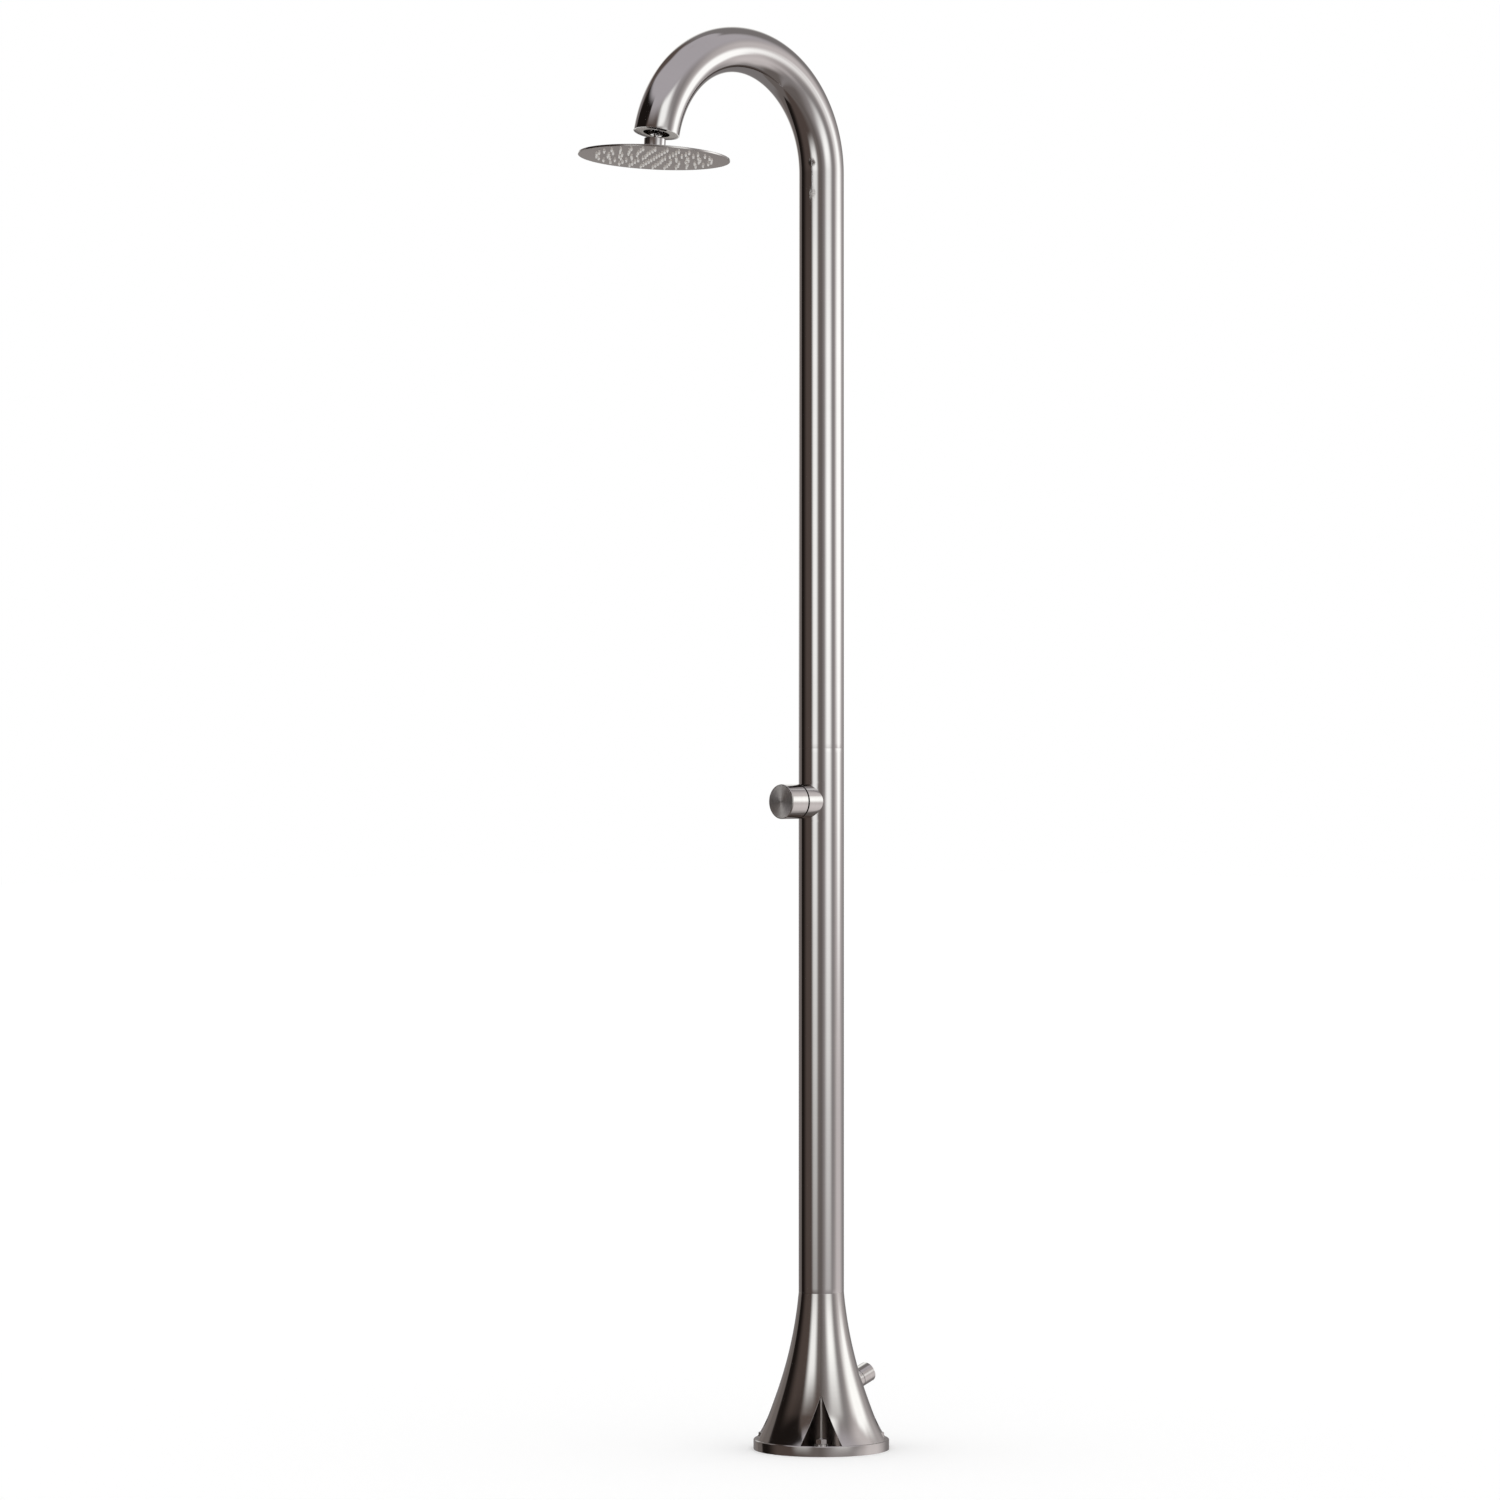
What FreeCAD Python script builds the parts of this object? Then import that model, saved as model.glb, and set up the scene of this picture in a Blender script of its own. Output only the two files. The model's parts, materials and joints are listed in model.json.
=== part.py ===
"""Outdoor shower post: a gooseneck column on a flared foot, with a tilting rain head.

Frame: millimetres, +Z up, origin at the centre of the foot's underside. The
shower head and the control knob face -Y, the foot tap faces +Y.

The spreadsheet "sizes" holds every driving dimension. A Size is a number with
the sheet expression that gives it, so each sketch and feature below is bound
to the sheet by the same sum that sets its first value.
"""
import FreeCAD, Part
import math
import os

import Sketcher

Vector = FreeCAD.Vector
Placement = FreeCAD.Placement
Rotation = FreeCAD.Rotation
X_DIRECTION = Vector(1, 0, 0)
Y_DIRECTION = Vector(0, 1, 0)
Z_DIRECTION = Vector(0, 0, 1)

SIZES = {
    # foot
    "base_diameter": 210, "base_thickness": 16, "base_edge_chamfer": 1.2,
    "anchor_circle": 176, "anchor_hole": 11, "anchor_count": 4,
    "flare_top_height": 243, "flare_wall": 2, "flare_ledge": 1,
    "flare_waist_height": 62.3, "flare_waist_spread": 43.2, "flare_top_lean": 5.2,
    "opening_height": 88, "opening_foot_width": 64, "opening_tip_width": 2.4, "opening_side_radius": 540,
    "gusset_thickness": 3, "gusset_reach": 66, "gusset_shoulder": 84, "gusset_height": 150,
    "gusset_top_width": 4,
    "washer_diameter": 21, "washer_thickness": 2, "nut_flats": 16, "nut_height": 8, "nut_bore": 10.1,
    "core_top_height": 400,
    # column
    "column_diameter": 70, "column_wall": 2, "slip_gap": 0.3, "joint_above_control": 82.3,
    "spigot_below": 38, "spigot_above": 60, "spigot_wall": 2,
    "bend_radius": 177, "bend_start": 1973.8, "bend_sweep": 168.3,
    "set_screw": 6, "set_screw_length": 6, "set_screw_inset": 24,
    # mouth and ball joint
    "mouth_hole": 40, "mouth_lip": 3, "mouth_sleeve_wall": 2.5, "mouth_depth": 9,
    "carrier_thickness": 5, "carrier_hub": 28, "carrier_hub_length": 6,
    "ball_drop": 18.3, "ball_diameter": 18, "ball_neck": 7.6, "ball_waterway": 4.8,
    "stud_hex_start": 15.2, "stud_hex_length": 6, "stud_hex_flats": 17, "stud_thread": 20,
    "liner_gap": 0.25, "liner_thickness": 1.25, "upper_liner_low": 4, "upper_liner_high": 47,
    "lower_liner_low": -57, "lower_liner_high": -13,
    # shower head
    "head_lean": 3.9, "head_diameter": 229.4, "head_drop": 19.7, "head_rim": 3, "head_dish": 4.7,
    "head_sheet": 1.2, "rim_fold": 2, "rim_edge": 0.4, "face_sheet": 0.8, "mat_sheet": 0.8,
    "hub_diameter": 26.4, "hub_shoulder": 48, "hub_top_drop": 2.3,
    "collar_diameter": 33, "collar_top": 10, "collar_mouth": 17, "collar_throat_step": 1, "collar_edge": 0.8,
    "nozzle_rings": 5, "nozzle_pitch": 17.4, "nozzle_root": 4.2, "nozzle_tip": 2.6, "nozzle_reach": 3,
    # mixer and control
    "control_height": 1002.5, "control_diameter": 53.6, "boss_reach": 51.8, "control_gap": 2,
    "knob_length": 34, "knob_edge": 0.8, "knob_hollow": 44, "knob_hollow_depth": 10, "knob_socket_depth": 25,
    "mixer_diameter": 44, "mixer_back": 20, "mixer_front": 22, "neck_diameter": 38, "neck_reach": 47,
    "cartridge_diameter": 30, "cartridge_length": 34, "cartridge_nut_length": 5, "stem_diameter": 8,
    "stem_clearance": 2, "stem_inside": 14, "running_gap": 0.06, "part_gap": 0.2,
    "port_diameter": 18, "port_reach": 32,
    "grub_screw": 4, "grub_screw_length": 8,
    # water lines
    "line_spacing": 30, "hose_diameter": 14, "ferrule_wall": 1.2, "ferrule_length": 18,
    "supply_nut_flats": 24, "supply_nut_bore": 18.6, "supply_nut_length": 15, "supply_nut_seat": 10,
    "supply_nut_rise": 2,
    "tee_bottom": 200, "tee_height": 20, "tee_width": 16, "tee_branch": 13, "tee_wall": 1,
    "riser_diameter": 15, "riser_wall": 1, "union_flats": 24, "union_length": 12, "union_slack": 1.6,
    # foot tap
    "tap_axis_height": 74.2, "tap_lean": 20, "tap_diameter": 31.5, "tap_boss_start": 60,
    "tap_boss_end": 85, "tap_gap": 0.6, "tap_end": 109.6, "tap_edge": 0.8, "tap_knob_front": 5,
    "tap_body_diameter": 24, "tap_body_start": 24, "tap_nose_end": 83, "tap_nose_wall": 3,
    "tap_bore_depth": 21,
    "tap_spindle": 6, "tap_outlet": 8, "tap_outlet_place": 80, "tap_outlet_margin": 1, "tap_outlet_wall": 1.2,
    "tap_nipple": 9, "tap_nipple_place": 25, "tap_nipple_top": 103, "feed_hose": 8, "feed_hose_run": 30,
}

doc = FreeCAD.newDocument("shower_post")
sheet = doc.addObject("Spreadsheet::Sheet", "sizes")
for row, (alias, number) in enumerate(SIZES.items(), start=1):
    sheet.set(f"A{row}", alias)
    sheet.set(f"B{row}", str(number))
    sheet.setAlias(f"B{row}", alias)
doc.recompute()


class Size:
    """A number, and the sheet expression that gives it."""

    def __init__(self, value, text=None):
        self.value = float(value)
        self.text = text if text is not None else repr(float(value))

    @staticmethod
    def of(other):
        return other if isinstance(other, Size) else Size(other)

    def __add__(self, other):
        other = Size.of(other)
        return Size(self.value + other.value, f"({self.text} + {other.text})")

    def __sub__(self, other):
        other = Size.of(other)
        return Size(self.value - other.value, f"({self.text} - {other.text})")

    def __mul__(self, other):
        other = Size.of(other)
        return Size(self.value * other.value, f"({self.text} * {other.text})")

    def __truediv__(self, other):
        other = Size.of(other)
        return Size(self.value / other.value, f"({self.text} / {other.text})")

    def __neg__(self):
        return Size(-self.value, f"(0 - {self.text})")

    __radd__ = __add__
    __rmul__ = __mul__

    def __rsub__(self, other):
        return Size.of(other) - self


def sine(angle):
    return Size(math.sin(math.radians(angle.value)), f"sin({angle.text})")


def cosine(angle):
    return Size(math.cos(math.radians(angle.value)), f"cos({angle.text})")


def tangent(angle):
    return Size(math.tan(math.radians(angle.value)), f"tan({angle.text})")


def root(area):
    return Size(math.sqrt(area.value), f"sqrt({area.text})")


class Sheet:
    """Reads a cell of the spreadsheet by its alias, as a Size."""

    def __getattr__(self, alias):
        return Size(sheet.get(alias), f"sizes.{alias}")


s = Sheet()
ZERO = Size(0)
PAST = Size(1)  # how far a cut runs past what it cuts
FIRST_ANCHOR_ANGLE = Size(45)


# ---------------------------------------------------------------- helpers
def new_body(label):
    body = doc.addObject("PartDesign::Body", label)
    body.Label = label
    return body


def origin_plane(body, role):
    return next(feature for feature in body.Origin.OriginFeatures if feature.Role == role)


def new_sketch(body, name, role="XZ_Plane"):
    sketch = body.newObject("Sketcher::SketchObject", f"{body.Name}_{name}")
    sketch.AttachmentSupport = [(origin_plane(body, role), "")]
    sketch.MapMode = "FlatFace"
    return sketch


def offset_sketch(sketch, y=ZERO, z=ZERO, tilt=ZERO):
    """Moves a sketch on the XY plane to (y, z) and tilts it about the X axis."""
    sketch.AttachmentOffset = Placement(Vector(0, y.value, z.value), Rotation(X_DIRECTION, tilt.value))
    sketch.setExpression("AttachmentOffset.Base.y", y.text)
    sketch.setExpression("AttachmentOffset.Base.z", z.text)
    if tilt is not ZERO:
        sketch.setExpression("AttachmentOffset.Rotation.Angle", tilt.text)


def bind(sketch, constraint, name, size):
    index = sketch.addConstraint(constraint)
    sketch.renameConstraint(index, name)
    sketch.setExpression(f"Constraints.{name}", size.text)


def fix_point(sketch, geometry, end, x, y):
    """Holds one end of a line or arc at (x, y) from the sketch's origin."""
    tag = f"{geometry}_{end}"
    bind(sketch, Sketcher.Constraint("DistanceX", -1, 1, geometry, end, x.value), f"x{tag}", x)
    bind(sketch, Sketcher.Constraint("DistanceY", -1, 1, geometry, end, y.value), f"y{tag}", y)


def point(pair):
    return Vector(pair[0].value, pair[1].value, 0)


def draw_loop(sketch, corners):
    """Closed loop of straight lines; every corner is a pair of Sizes."""
    corners = [(Size.of(x), Size.of(y)) for x, y in corners]
    lines = [sketch.addGeometry(Part.LineSegment(point(a), point(b)))
             for a, b in zip(corners, corners[1:] + corners[:1])]
    for line, following in zip(lines, lines[1:] + lines[:1]):
        sketch.addConstraint(Sketcher.Constraint("Coincident", line, 2, following, 1))
    for line, (x, y) in zip(lines, corners):
        fix_point(sketch, line, 1, x, y)
    return lines


def draw_circle(sketch, diameter, x=ZERO, y=ZERO):
    circle = sketch.addGeometry(Part.Circle(point((x, y)), Z_DIRECTION, diameter.value / 2))
    fix_point(sketch, circle, 3, x, y)
    bind(sketch, Sketcher.Constraint("Diameter", circle, diameter.value), f"d{circle}", diameter)


def draw_hexagon(sketch, flats, x=ZERO, y=ZERO):
    """Regular hexagon with two flats across X, from its width across flats."""
    corner = flats / math.sqrt(3)
    draw_loop(sketch, [(x + flats / 2 * side_x, y + corner * side_y)
                       for side_x, side_y in ((0, -1), (1, -0.5), (1, 0.5), (0, 1), (-1, 0.5), (-1, -0.5))])


def pad(body, sketch, length, backwards=False):
    feature = body.newObject("PartDesign::Pad", f"{sketch.Name}_pad")
    feature.Profile = sketch
    feature.Length = length.value
    feature.setExpression("Length", length.text)
    feature.Reversed = backwards
    return feature


def pocket(body, sketch, length, backwards=False):
    feature = body.newObject("PartDesign::Pocket", f"{sketch.Name}_pocket")
    feature.Profile = sketch
    feature.Length = length.value
    feature.setExpression("Length", length.text)
    feature.Reversed = backwards
    return feature


def revolve(body, sketch, axis="V_Axis", angle=None, kind="Revolution"):
    feature = body.newObject(f"PartDesign::{kind}", f"{sketch.Name}_turn")
    feature.Profile = sketch
    feature.ReferenceAxis = (sketch, [axis])
    feature.Angle = angle.value if angle is not None else 360
    if angle is not None:
        feature.setExpression("Angle", angle.text)
    return feature


def bore(body, name, diameter, length, x=ZERO, y=ZERO, z=ZERO, turn=(X_DIRECTION, 0)):
    """Cuts a round hole that starts at (x, y, z) and runs along Z, turned as stated."""
    feature = body.newObject("PartDesign::SubtractiveCylinder", f"{body.Name}_{name}")
    feature.Placement = Placement(point3(x, y, z), Rotation(*turn))
    feature.Radius = diameter.value / 2
    feature.Height = length.value
    feature.setExpression("Radius", (diameter / 2).text)
    feature.setExpression("Height", length.text)
    for letter, size in zip("xyz", (x, y, z)):
        feature.setExpression(f"Placement.Base.{letter}", size.text)
    return feature


def point3(x, y, z):
    return Vector(x.value, y.value, z.value)


def ring_of(body, feature, count):
    """Repeats a feature evenly about the body's own Z axis."""
    pattern = body.newObject("PartDesign::PolarPattern", f"{feature.Name}_ring")
    pattern.Originals = [feature]
    pattern.Axis = (origin_plane(body, "Z_Axis"), [""])
    pattern.Angle = 360
    pattern.Occurrences = int(count.value)
    pattern.setExpression("Occurrences", count.text)
    body.Tip = pattern
    return pattern


def turned(label, corners):
    """A body of revolution about its own Z axis, from (radius, height) corners."""
    body = new_body(label)
    sketch = new_sketch(body, "section")
    draw_loop(sketch, corners)
    revolve(body, sketch)
    return body


def place(body, x=ZERO, y=ZERO, z=ZERO, tilt=None):
    """Puts a body at (x, y, z), its own Z axis tilted about X from +Z towards -Y."""
    angle = tilt if tilt is not None else ZERO
    body.Placement = Placement(point3(x, y, z), Rotation(X_DIRECTION, angle.value))
    for letter, size in zip("xyz", (x, y, z)):
        body.setExpression(f"Placement.Base.{letter}", size.text)
    if tilt is not None:
        body.setExpression("Placement.Rotation.Angle", tilt.text)
    return body


# ---------------------------------------------------------------- shared sums
base_radius = s.base_diameter / 2
column_radius = s.column_diameter / 2
column_bore = column_radius - s.column_wall
core_radius = column_bore - s.slip_gap
core_bore = core_radius - s.spigot_wall
floor_height = s.base_thickness
anchor_radius = s.anchor_circle / 2
line_offset = s.line_spacing / 2
joint_height = s.control_height + s.joint_above_control
anchor_count = int(s.anchor_count.value)

# the mouth of the gooseneck and the centre of the ball joint below it
mouth_y = -(s.bend_radius * (1 - cosine(s.bend_sweep)))
mouth_z = s.bend_start + s.bend_radius * sine(s.bend_sweep)
mouth_lean = 180 - s.bend_sweep
ball_y = mouth_y - s.ball_drop * sine(s.bend_sweep)
ball_z = mouth_z + s.ball_drop * cosine(s.bend_sweep)


def on_mouth(body):
    """Puts a body's origin at the ball centre, its Z axis up the gooseneck's mouth."""
    return place(body, ZERO, ball_y, ball_z, -mouth_lean)


def on_head(body):
    """Puts a body's origin at the ball centre, its Z axis up the shower head's axis."""
    return place(body, ZERO, ball_y, ball_z, -s.head_lean)


def on_control(body):
    """Puts a body's Z axis on the control's axis, pointing out of the column to -Y."""
    return place(body, ZERO, ZERO, s.control_height, Size(90))


def on_tap(body):
    """Puts a body's Z axis on the foot tap's axis, pointing up and out to +Y."""
    return place(body, ZERO, ZERO, s.tap_axis_height, s.tap_lean - 90)


# ---------------------------------------------------------------- foot
def make_base_plate():
    plate = new_body("base_plate")
    disc = new_sketch(plate, "disc", "XY_Plane")
    draw_circle(disc, s.base_diameter)
    draw_circle(disc, core_bore * 2)
    pad(plate, disc, s.base_thickness)
    hole = bore(plate, "anchor_hole", s.anchor_hole, s.base_thickness + PAST * 2,
                anchor_radius * cosine(FIRST_ANCHOR_ANGLE), anchor_radius * sine(FIRST_ANCHOR_ANGLE), -PAST)
    ring_of(plate, hole, s.anchor_count)
    edge = new_sketch(plate, "edge")
    outside = base_radius + PAST
    above = s.base_thickness + PAST
    draw_loop(edge, [(base_radius - s.base_edge_chamfer, s.base_thickness),
                     (outside, s.base_thickness - s.base_edge_chamfer - PAST), (outside, above),
                     (base_radius - s.base_edge_chamfer, above)])
    revolve(plate, edge, kind="Groove")


def arc_through(start, heading, end):
    """Centre and radius of the arc that leaves start along heading and meets end."""
    normal = Vector(-heading.y, heading.x, 0)
    chord = end - start
    reach = chord.Length ** 2 / (2 * chord.dot(normal))
    return start + normal * reach, abs(reach)


def draw_flare_wall(sketch):
    """Wall section of the flare: two tangent arcs outside, and the same arcs one wall inside."""
    top = Vector(column_radius.value, s.flare_top_height.value, 0)
    waist_radius = column_radius + s.flare_waist_spread
    waist = Vector(waist_radius.value, s.flare_waist_height.value, 0)
    foot = Vector((base_radius - s.flare_ledge).value, floor_height.value, 0)
    lean = math.radians(s.flare_top_lean.value)
    upper_centre, upper_radius = arc_through(top, Vector(math.sin(lean), -math.cos(lean), 0), waist)
    inwards = (waist - upper_centre) * (1 / upper_radius)
    lower_centre, lower_radius = arc_through(waist, Vector(-inwards.y, inwards.x, 0), foot)
    wall = s.flare_wall.value

    def inner(centre, radius, height):
        """The point at this height on the arc one wall further from the centre."""
        rise = height - centre.y
        return Vector(centre.x - math.sqrt((radius + wall) ** 2 - rise ** 2), height, 0)

    def arc(centre, radius, upper_end, lower_end):
        angles = [math.atan2(end.y - centre.y, end.x - centre.x) % (2 * math.pi)
                  for end in (upper_end, lower_end)]
        return sketch.addGeometry(Part.ArcOfCircle(Part.Circle(centre, Z_DIRECTION, radius), *angles))

    inner_top = inner(upper_centre, upper_radius, top.y)
    inner_waist = waist + inwards * wall
    inner_foot = inner(lower_centre, lower_radius, foot.y)
    outer_upper = arc(upper_centre, upper_radius, top, waist)
    outer_lower = arc(lower_centre, lower_radius, waist, foot)
    bottom = sketch.addGeometry(Part.LineSegment(foot, inner_foot))
    inner_lower = arc(lower_centre, lower_radius + wall, inner_waist, inner_foot)
    inner_upper = arc(upper_centre, upper_radius + wall, inner_top, inner_waist)
    lip = sketch.addGeometry(Part.LineSegment(inner_top, top))
    guide_length = 10
    guide_end = top + Vector(math.sin(lean), -math.cos(lean), 0) * guide_length
    guide = sketch.addGeometry(Part.LineSegment(top, guide_end), True)
    for constraint in (("Tangent", outer_upper, 2, outer_lower, 1), ("Coincident", outer_lower, 2, bottom, 1),
                       ("Coincident", bottom, 2, inner_lower, 2), ("Tangent", inner_lower, 1, inner_upper, 2),
                       ("Coincident", inner_upper, 1, lip, 1), ("Coincident", lip, 2, outer_upper, 1),
                       ("Coincident", outer_upper, 3, inner_upper, 3),
                       ("Coincident", outer_lower, 3, inner_lower, 3),
                       ("Horizontal", bottom), ("Horizontal", lip),
                       ("Tangent", guide, 1, outer_upper, 1), ("Distance", guide, guide_length)):
        sketch.addConstraint(Sketcher.Constraint(*constraint))
    fix_point(sketch, outer_upper, 1, column_radius, s.flare_top_height)
    fix_point(sketch, outer_lower, 1, waist_radius, s.flare_waist_height)
    fix_point(sketch, outer_lower, 2, base_radius - s.flare_ledge, floor_height)
    bind(sketch, Sketcher.Constraint("Angle", guide, lean - math.pi / 2), "top_lean", s.flare_top_lean - 90)
    bind(sketch, Sketcher.Constraint("Distance", outer_lower, 1, inner_lower, 1, wall), "wall", s.flare_wall)


def draw_opening(sketch):
    """Arched opening with bowed sides, narrow at the tip and open at the foot."""
    half_tip = s.opening_tip_width / 2
    half_foot = s.opening_foot_width / 2
    corners = [(-half_foot, floor_height), (half_foot, floor_height),
               (half_tip, s.opening_height), (-half_tip, s.opening_height)]
    foot_left, foot_right, tip_right, tip_left = (point(corner) for corner in corners)
    radius = s.opening_side_radius

    def side(low, high, hand):
        chord = high - low
        middle = (low + high) * 0.5
        out = Vector(chord.y, -chord.x, 0) * (hand / chord.Length)
        centre = middle + out * math.sqrt(radius.value ** 2 - chord.Length ** 2 / 4)
        angles = [math.atan2(end.y - centre.y, end.x - centre.x) for end in (low, high)]
        if hand > 0:
            angles = [angle % (2 * math.pi) for angle in reversed(angles)]
        return sketch.addGeometry(Part.ArcOfCircle(Part.Circle(centre, Z_DIRECTION, radius.value), *angles))

    bottom = sketch.addGeometry(Part.LineSegment(foot_left, foot_right))
    right = side(foot_right, tip_right, 1)
    tip = sketch.addGeometry(Part.LineSegment(tip_right, tip_left))
    left = side(foot_left, tip_left, -1)
    for constraint in (("Coincident", bottom, 2, right, 2), ("Coincident", right, 1, tip, 1),
                       ("Coincident", tip, 2, left, 2), ("Coincident", left, 1, bottom, 1)):
        sketch.addConstraint(Sketcher.Constraint(*constraint))
    for geometry, (x, y) in ((bottom, corners[0]), (tip, corners[2])):
        fix_point(sketch, geometry, 1, x, y)
    fix_point(sketch, bottom, 2, *corners[1])
    fix_point(sketch, tip, 2, *corners[3])
    for name, geometry in (("right", right), ("left", left)):
        bind(sketch, Sketcher.Constraint("Radius", geometry, radius.value), name, radius)


def tap_hole(body, diameter):
    """Round hole on the foot tap's axis, from the column's axis out to +Y."""
    circle = new_sketch(body, "tap_hole", "XY_Plane")
    offset_sketch(circle, z=s.tap_axis_height, tilt=s.tap_lean - 90)
    draw_circle(circle, diameter)
    pocket(body, circle, s.tap_end, True)


def make_base_flare():
    flare = new_body("base_flare")
    wall = new_sketch(flare, "wall")
    draw_flare_wall(wall)
    revolve(flare, wall)
    opening = new_sketch(flare, "opening")
    opening.AttachmentOffset = Placement(Vector(), Rotation(Y_DIRECTION, FIRST_ANCHOR_ANGLE.value))
    draw_opening(opening)
    cut = pocket(flare, opening, base_radius)
    ring_of(flare, cut, s.anchor_count)
    tap_hole(flare, s.tap_diameter + s.part_gap * 2)


def make_core_tube():
    core = turned("foot_core_tube", [(core_bore, floor_height), (core_radius, floor_height),
                                     (core_radius, s.core_top_height), (core_bore, s.core_top_height)])
    tap_hole(core, s.tap_body_diameter + s.part_gap * 2)
    screw_hole(core, s.flare_top_height + s.set_screw_inset)


def anchor_turn(number):
    """Turn about Z from +X to one of the anchors."""
    return Rotation(Z_DIRECTION, FIRST_ANCHOR_ANGLE.value + 360 / anchor_count * number)


def make_gussets():
    """Four radial plates between the plate and the core tube, one behind each opening."""
    for number in range(anchor_count):
        gusset = new_body(f"gusset_{number + 1}")
        side = new_sketch(gusset, "side")
        draw_loop(side, [(core_radius, floor_height), (s.gusset_reach, floor_height),
                         (s.gusset_reach, s.gusset_shoulder),
                         (core_radius + s.gusset_top_width, s.gusset_height), (core_radius, s.gusset_height)])
        pad(gusset, side, s.gusset_thickness).Midplane = True
        gusset.Placement = Placement(Vector(), anchor_turn(number))


def one_at_each_anchor(label, shape_at_origin):
    """One node of separate equal solids, one on each anchor bolt."""
    copies = []
    for number in range(anchor_count):
        turn = anchor_turn(number)
        copy = shape_at_origin.copy()
        seat = turn.multVec(Vector(anchor_radius.value, 0, 0))
        copy.Placement = Placement(seat, turn).multiply(copy.Placement)
        copies.append(copy)
    group = doc.addObject("Part::Feature", label)
    group.Shape = Part.makeCompound(copies)
    return group


def hexagon_prism(flats, length):
    corner = flats / math.sqrt(3)
    corners = [Vector(corner * math.cos(math.pi / 3 * step), corner * math.sin(math.pi / 3 * step), 0)
               for step in range(7)]
    return Part.Face(Part.makePolygon(corners)).extrude(Vector(0, 0, length))


def make_anchors():
    hole = s.nut_bore.value / 2
    seat = s.base_thickness.value
    washer = Part.makeCylinder(s.washer_diameter.value / 2, s.washer_thickness.value, Vector(0, 0, seat))
    washer = washer.cut(Part.makeCylinder(hole, s.washer_thickness.value, Vector(0, 0, seat)))
    one_at_each_anchor("anchor_washers", washer)
    nut = hexagon_prism(s.nut_flats.value, s.nut_height.value)
    nut = nut.cut(Part.makeCylinder(hole, s.nut_height.value))
    nut.Placement = Placement(Vector(0, 0, seat + s.washer_thickness.value), Rotation())
    one_at_each_anchor("anchor_nuts", nut)


# ---------------------------------------------------------------- column
def screw_hole(body, height):
    """Radial hole for a set screw at the back of a tube."""
    bore(body, f"screw_hole_{int(height.value)}", s.set_screw + s.part_gap, s.column_diameter,
         z=height, turn=(X_DIRECTION, -90))


def make_lower_column():
    column = turned("lower_column", [(column_bore, s.flare_top_height), (column_radius, s.flare_top_height),
                                     (column_radius, joint_height), (column_bore, joint_height)])
    bore(column, "neck_hole", s.neck_diameter + s.slip_gap * 2, s.column_diameter, z=s.control_height,
         turn=(X_DIRECTION, 90))
    screw_hole(column, s.flare_top_height + s.set_screw_inset)
    screw_hole(column, joint_height - s.set_screw_inset)


def bent_tube(label, diameter, hole, start, tail):
    """Tube up the column, round the gooseneck and straight on for tail to the mouth.

    A tail shortens the arc's radius, so that the straight runs stay on the
    column's own axis and on the mouth's axis.
    """
    radius = s.bend_radius - tail / tangent(s.bend_sweep / 2)
    arc_height = s.bend_start + tail
    tube = new_body(label)
    foot = new_sketch(tube, "foot", "XY_Plane")
    offset_sketch(foot, z=start)
    draw_circle(foot, diameter)
    draw_circle(foot, hole)
    pad(tube, foot, arc_height - start)
    arc = new_sketch(tube, "arc", "XY_Plane")
    offset_sketch(arc, y=-radius, z=arc_height)
    draw_circle(arc, diameter, ZERO, radius)
    draw_circle(arc, hole, ZERO, radius)
    revolve(tube, arc, "H_Axis", s.bend_sweep)
    return tube


def make_upper_column():
    column = bent_tube("upper_column", s.column_diameter, column_bore * 2, joint_height, ZERO)
    screw_hole(column, joint_height + s.set_screw_inset)


def make_joint_spigot():
    low = joint_height - s.spigot_below
    high = joint_height + s.spigot_above
    spigot = turned("joint_spigot", [(core_bore, low), (core_radius, low),
                                     (core_radius, high), (core_bore, high)])
    screw_hole(spigot, joint_height - s.set_screw_inset)
    screw_hole(spigot, joint_height + s.set_screw_inset)


def make_set_screws():
    """Grub screws at the back that lock the column to the foot and its two halves together."""
    inset = s.set_screw_inset.value
    heights = (s.flare_top_height.value + inset, joint_height.value - inset, joint_height.value + inset)
    flush = column_radius.value - s.part_gap.value
    screws = [Part.makeCylinder(s.set_screw.value / 2, s.set_screw_length.value,
                                Vector(0, flush - s.set_screw_length.value, height), Vector(0, 1, 0))
              for height in heights]
    group = doc.addObject("Part::Feature", "column_set_screws")
    group.Shape = Part.makeCompound(screws)


# ---------------------------------------------------------------- mouth and ball joint
def make_mouth():
    lip = s.ball_drop
    sleeve = s.mouth_hole / 2
    sleeve_top = s.ball_drop + s.mouth_depth
    on_mouth(turned("mouth_ring", [(sleeve, lip), (column_bore - s.part_gap / 2, lip),
                                   (column_bore - s.part_gap / 2, lip + s.mouth_lip),
                                   (sleeve + s.mouth_sleeve_wall, lip + s.mouth_lip),
                                   (sleeve + s.mouth_sleeve_wall, sleeve_top), (sleeve, sleeve_top)]))
    disc_top = sleeve_top + s.carrier_thickness
    hub = s.carrier_hub / 2
    thread = s.stud_thread / 2 + s.part_gap / 2
    disc = sleeve + s.mouth_sleeve_wall
    on_mouth(turned("outlet_carrier", [(thread, sleeve_top), (disc, sleeve_top), (disc, disc_top),
                                       (hub, disc_top), (hub, disc_top + s.carrier_hub_length),
                                       (thread, disc_top + s.carrier_hub_length)]))


def ball_arc(radius, angles):
    """Arc about the ball's centre, between two angles up from its equator."""
    return Part.ArcOfCircle(Part.Circle(Vector(), Z_DIRECTION, radius.value), *angles)


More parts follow.
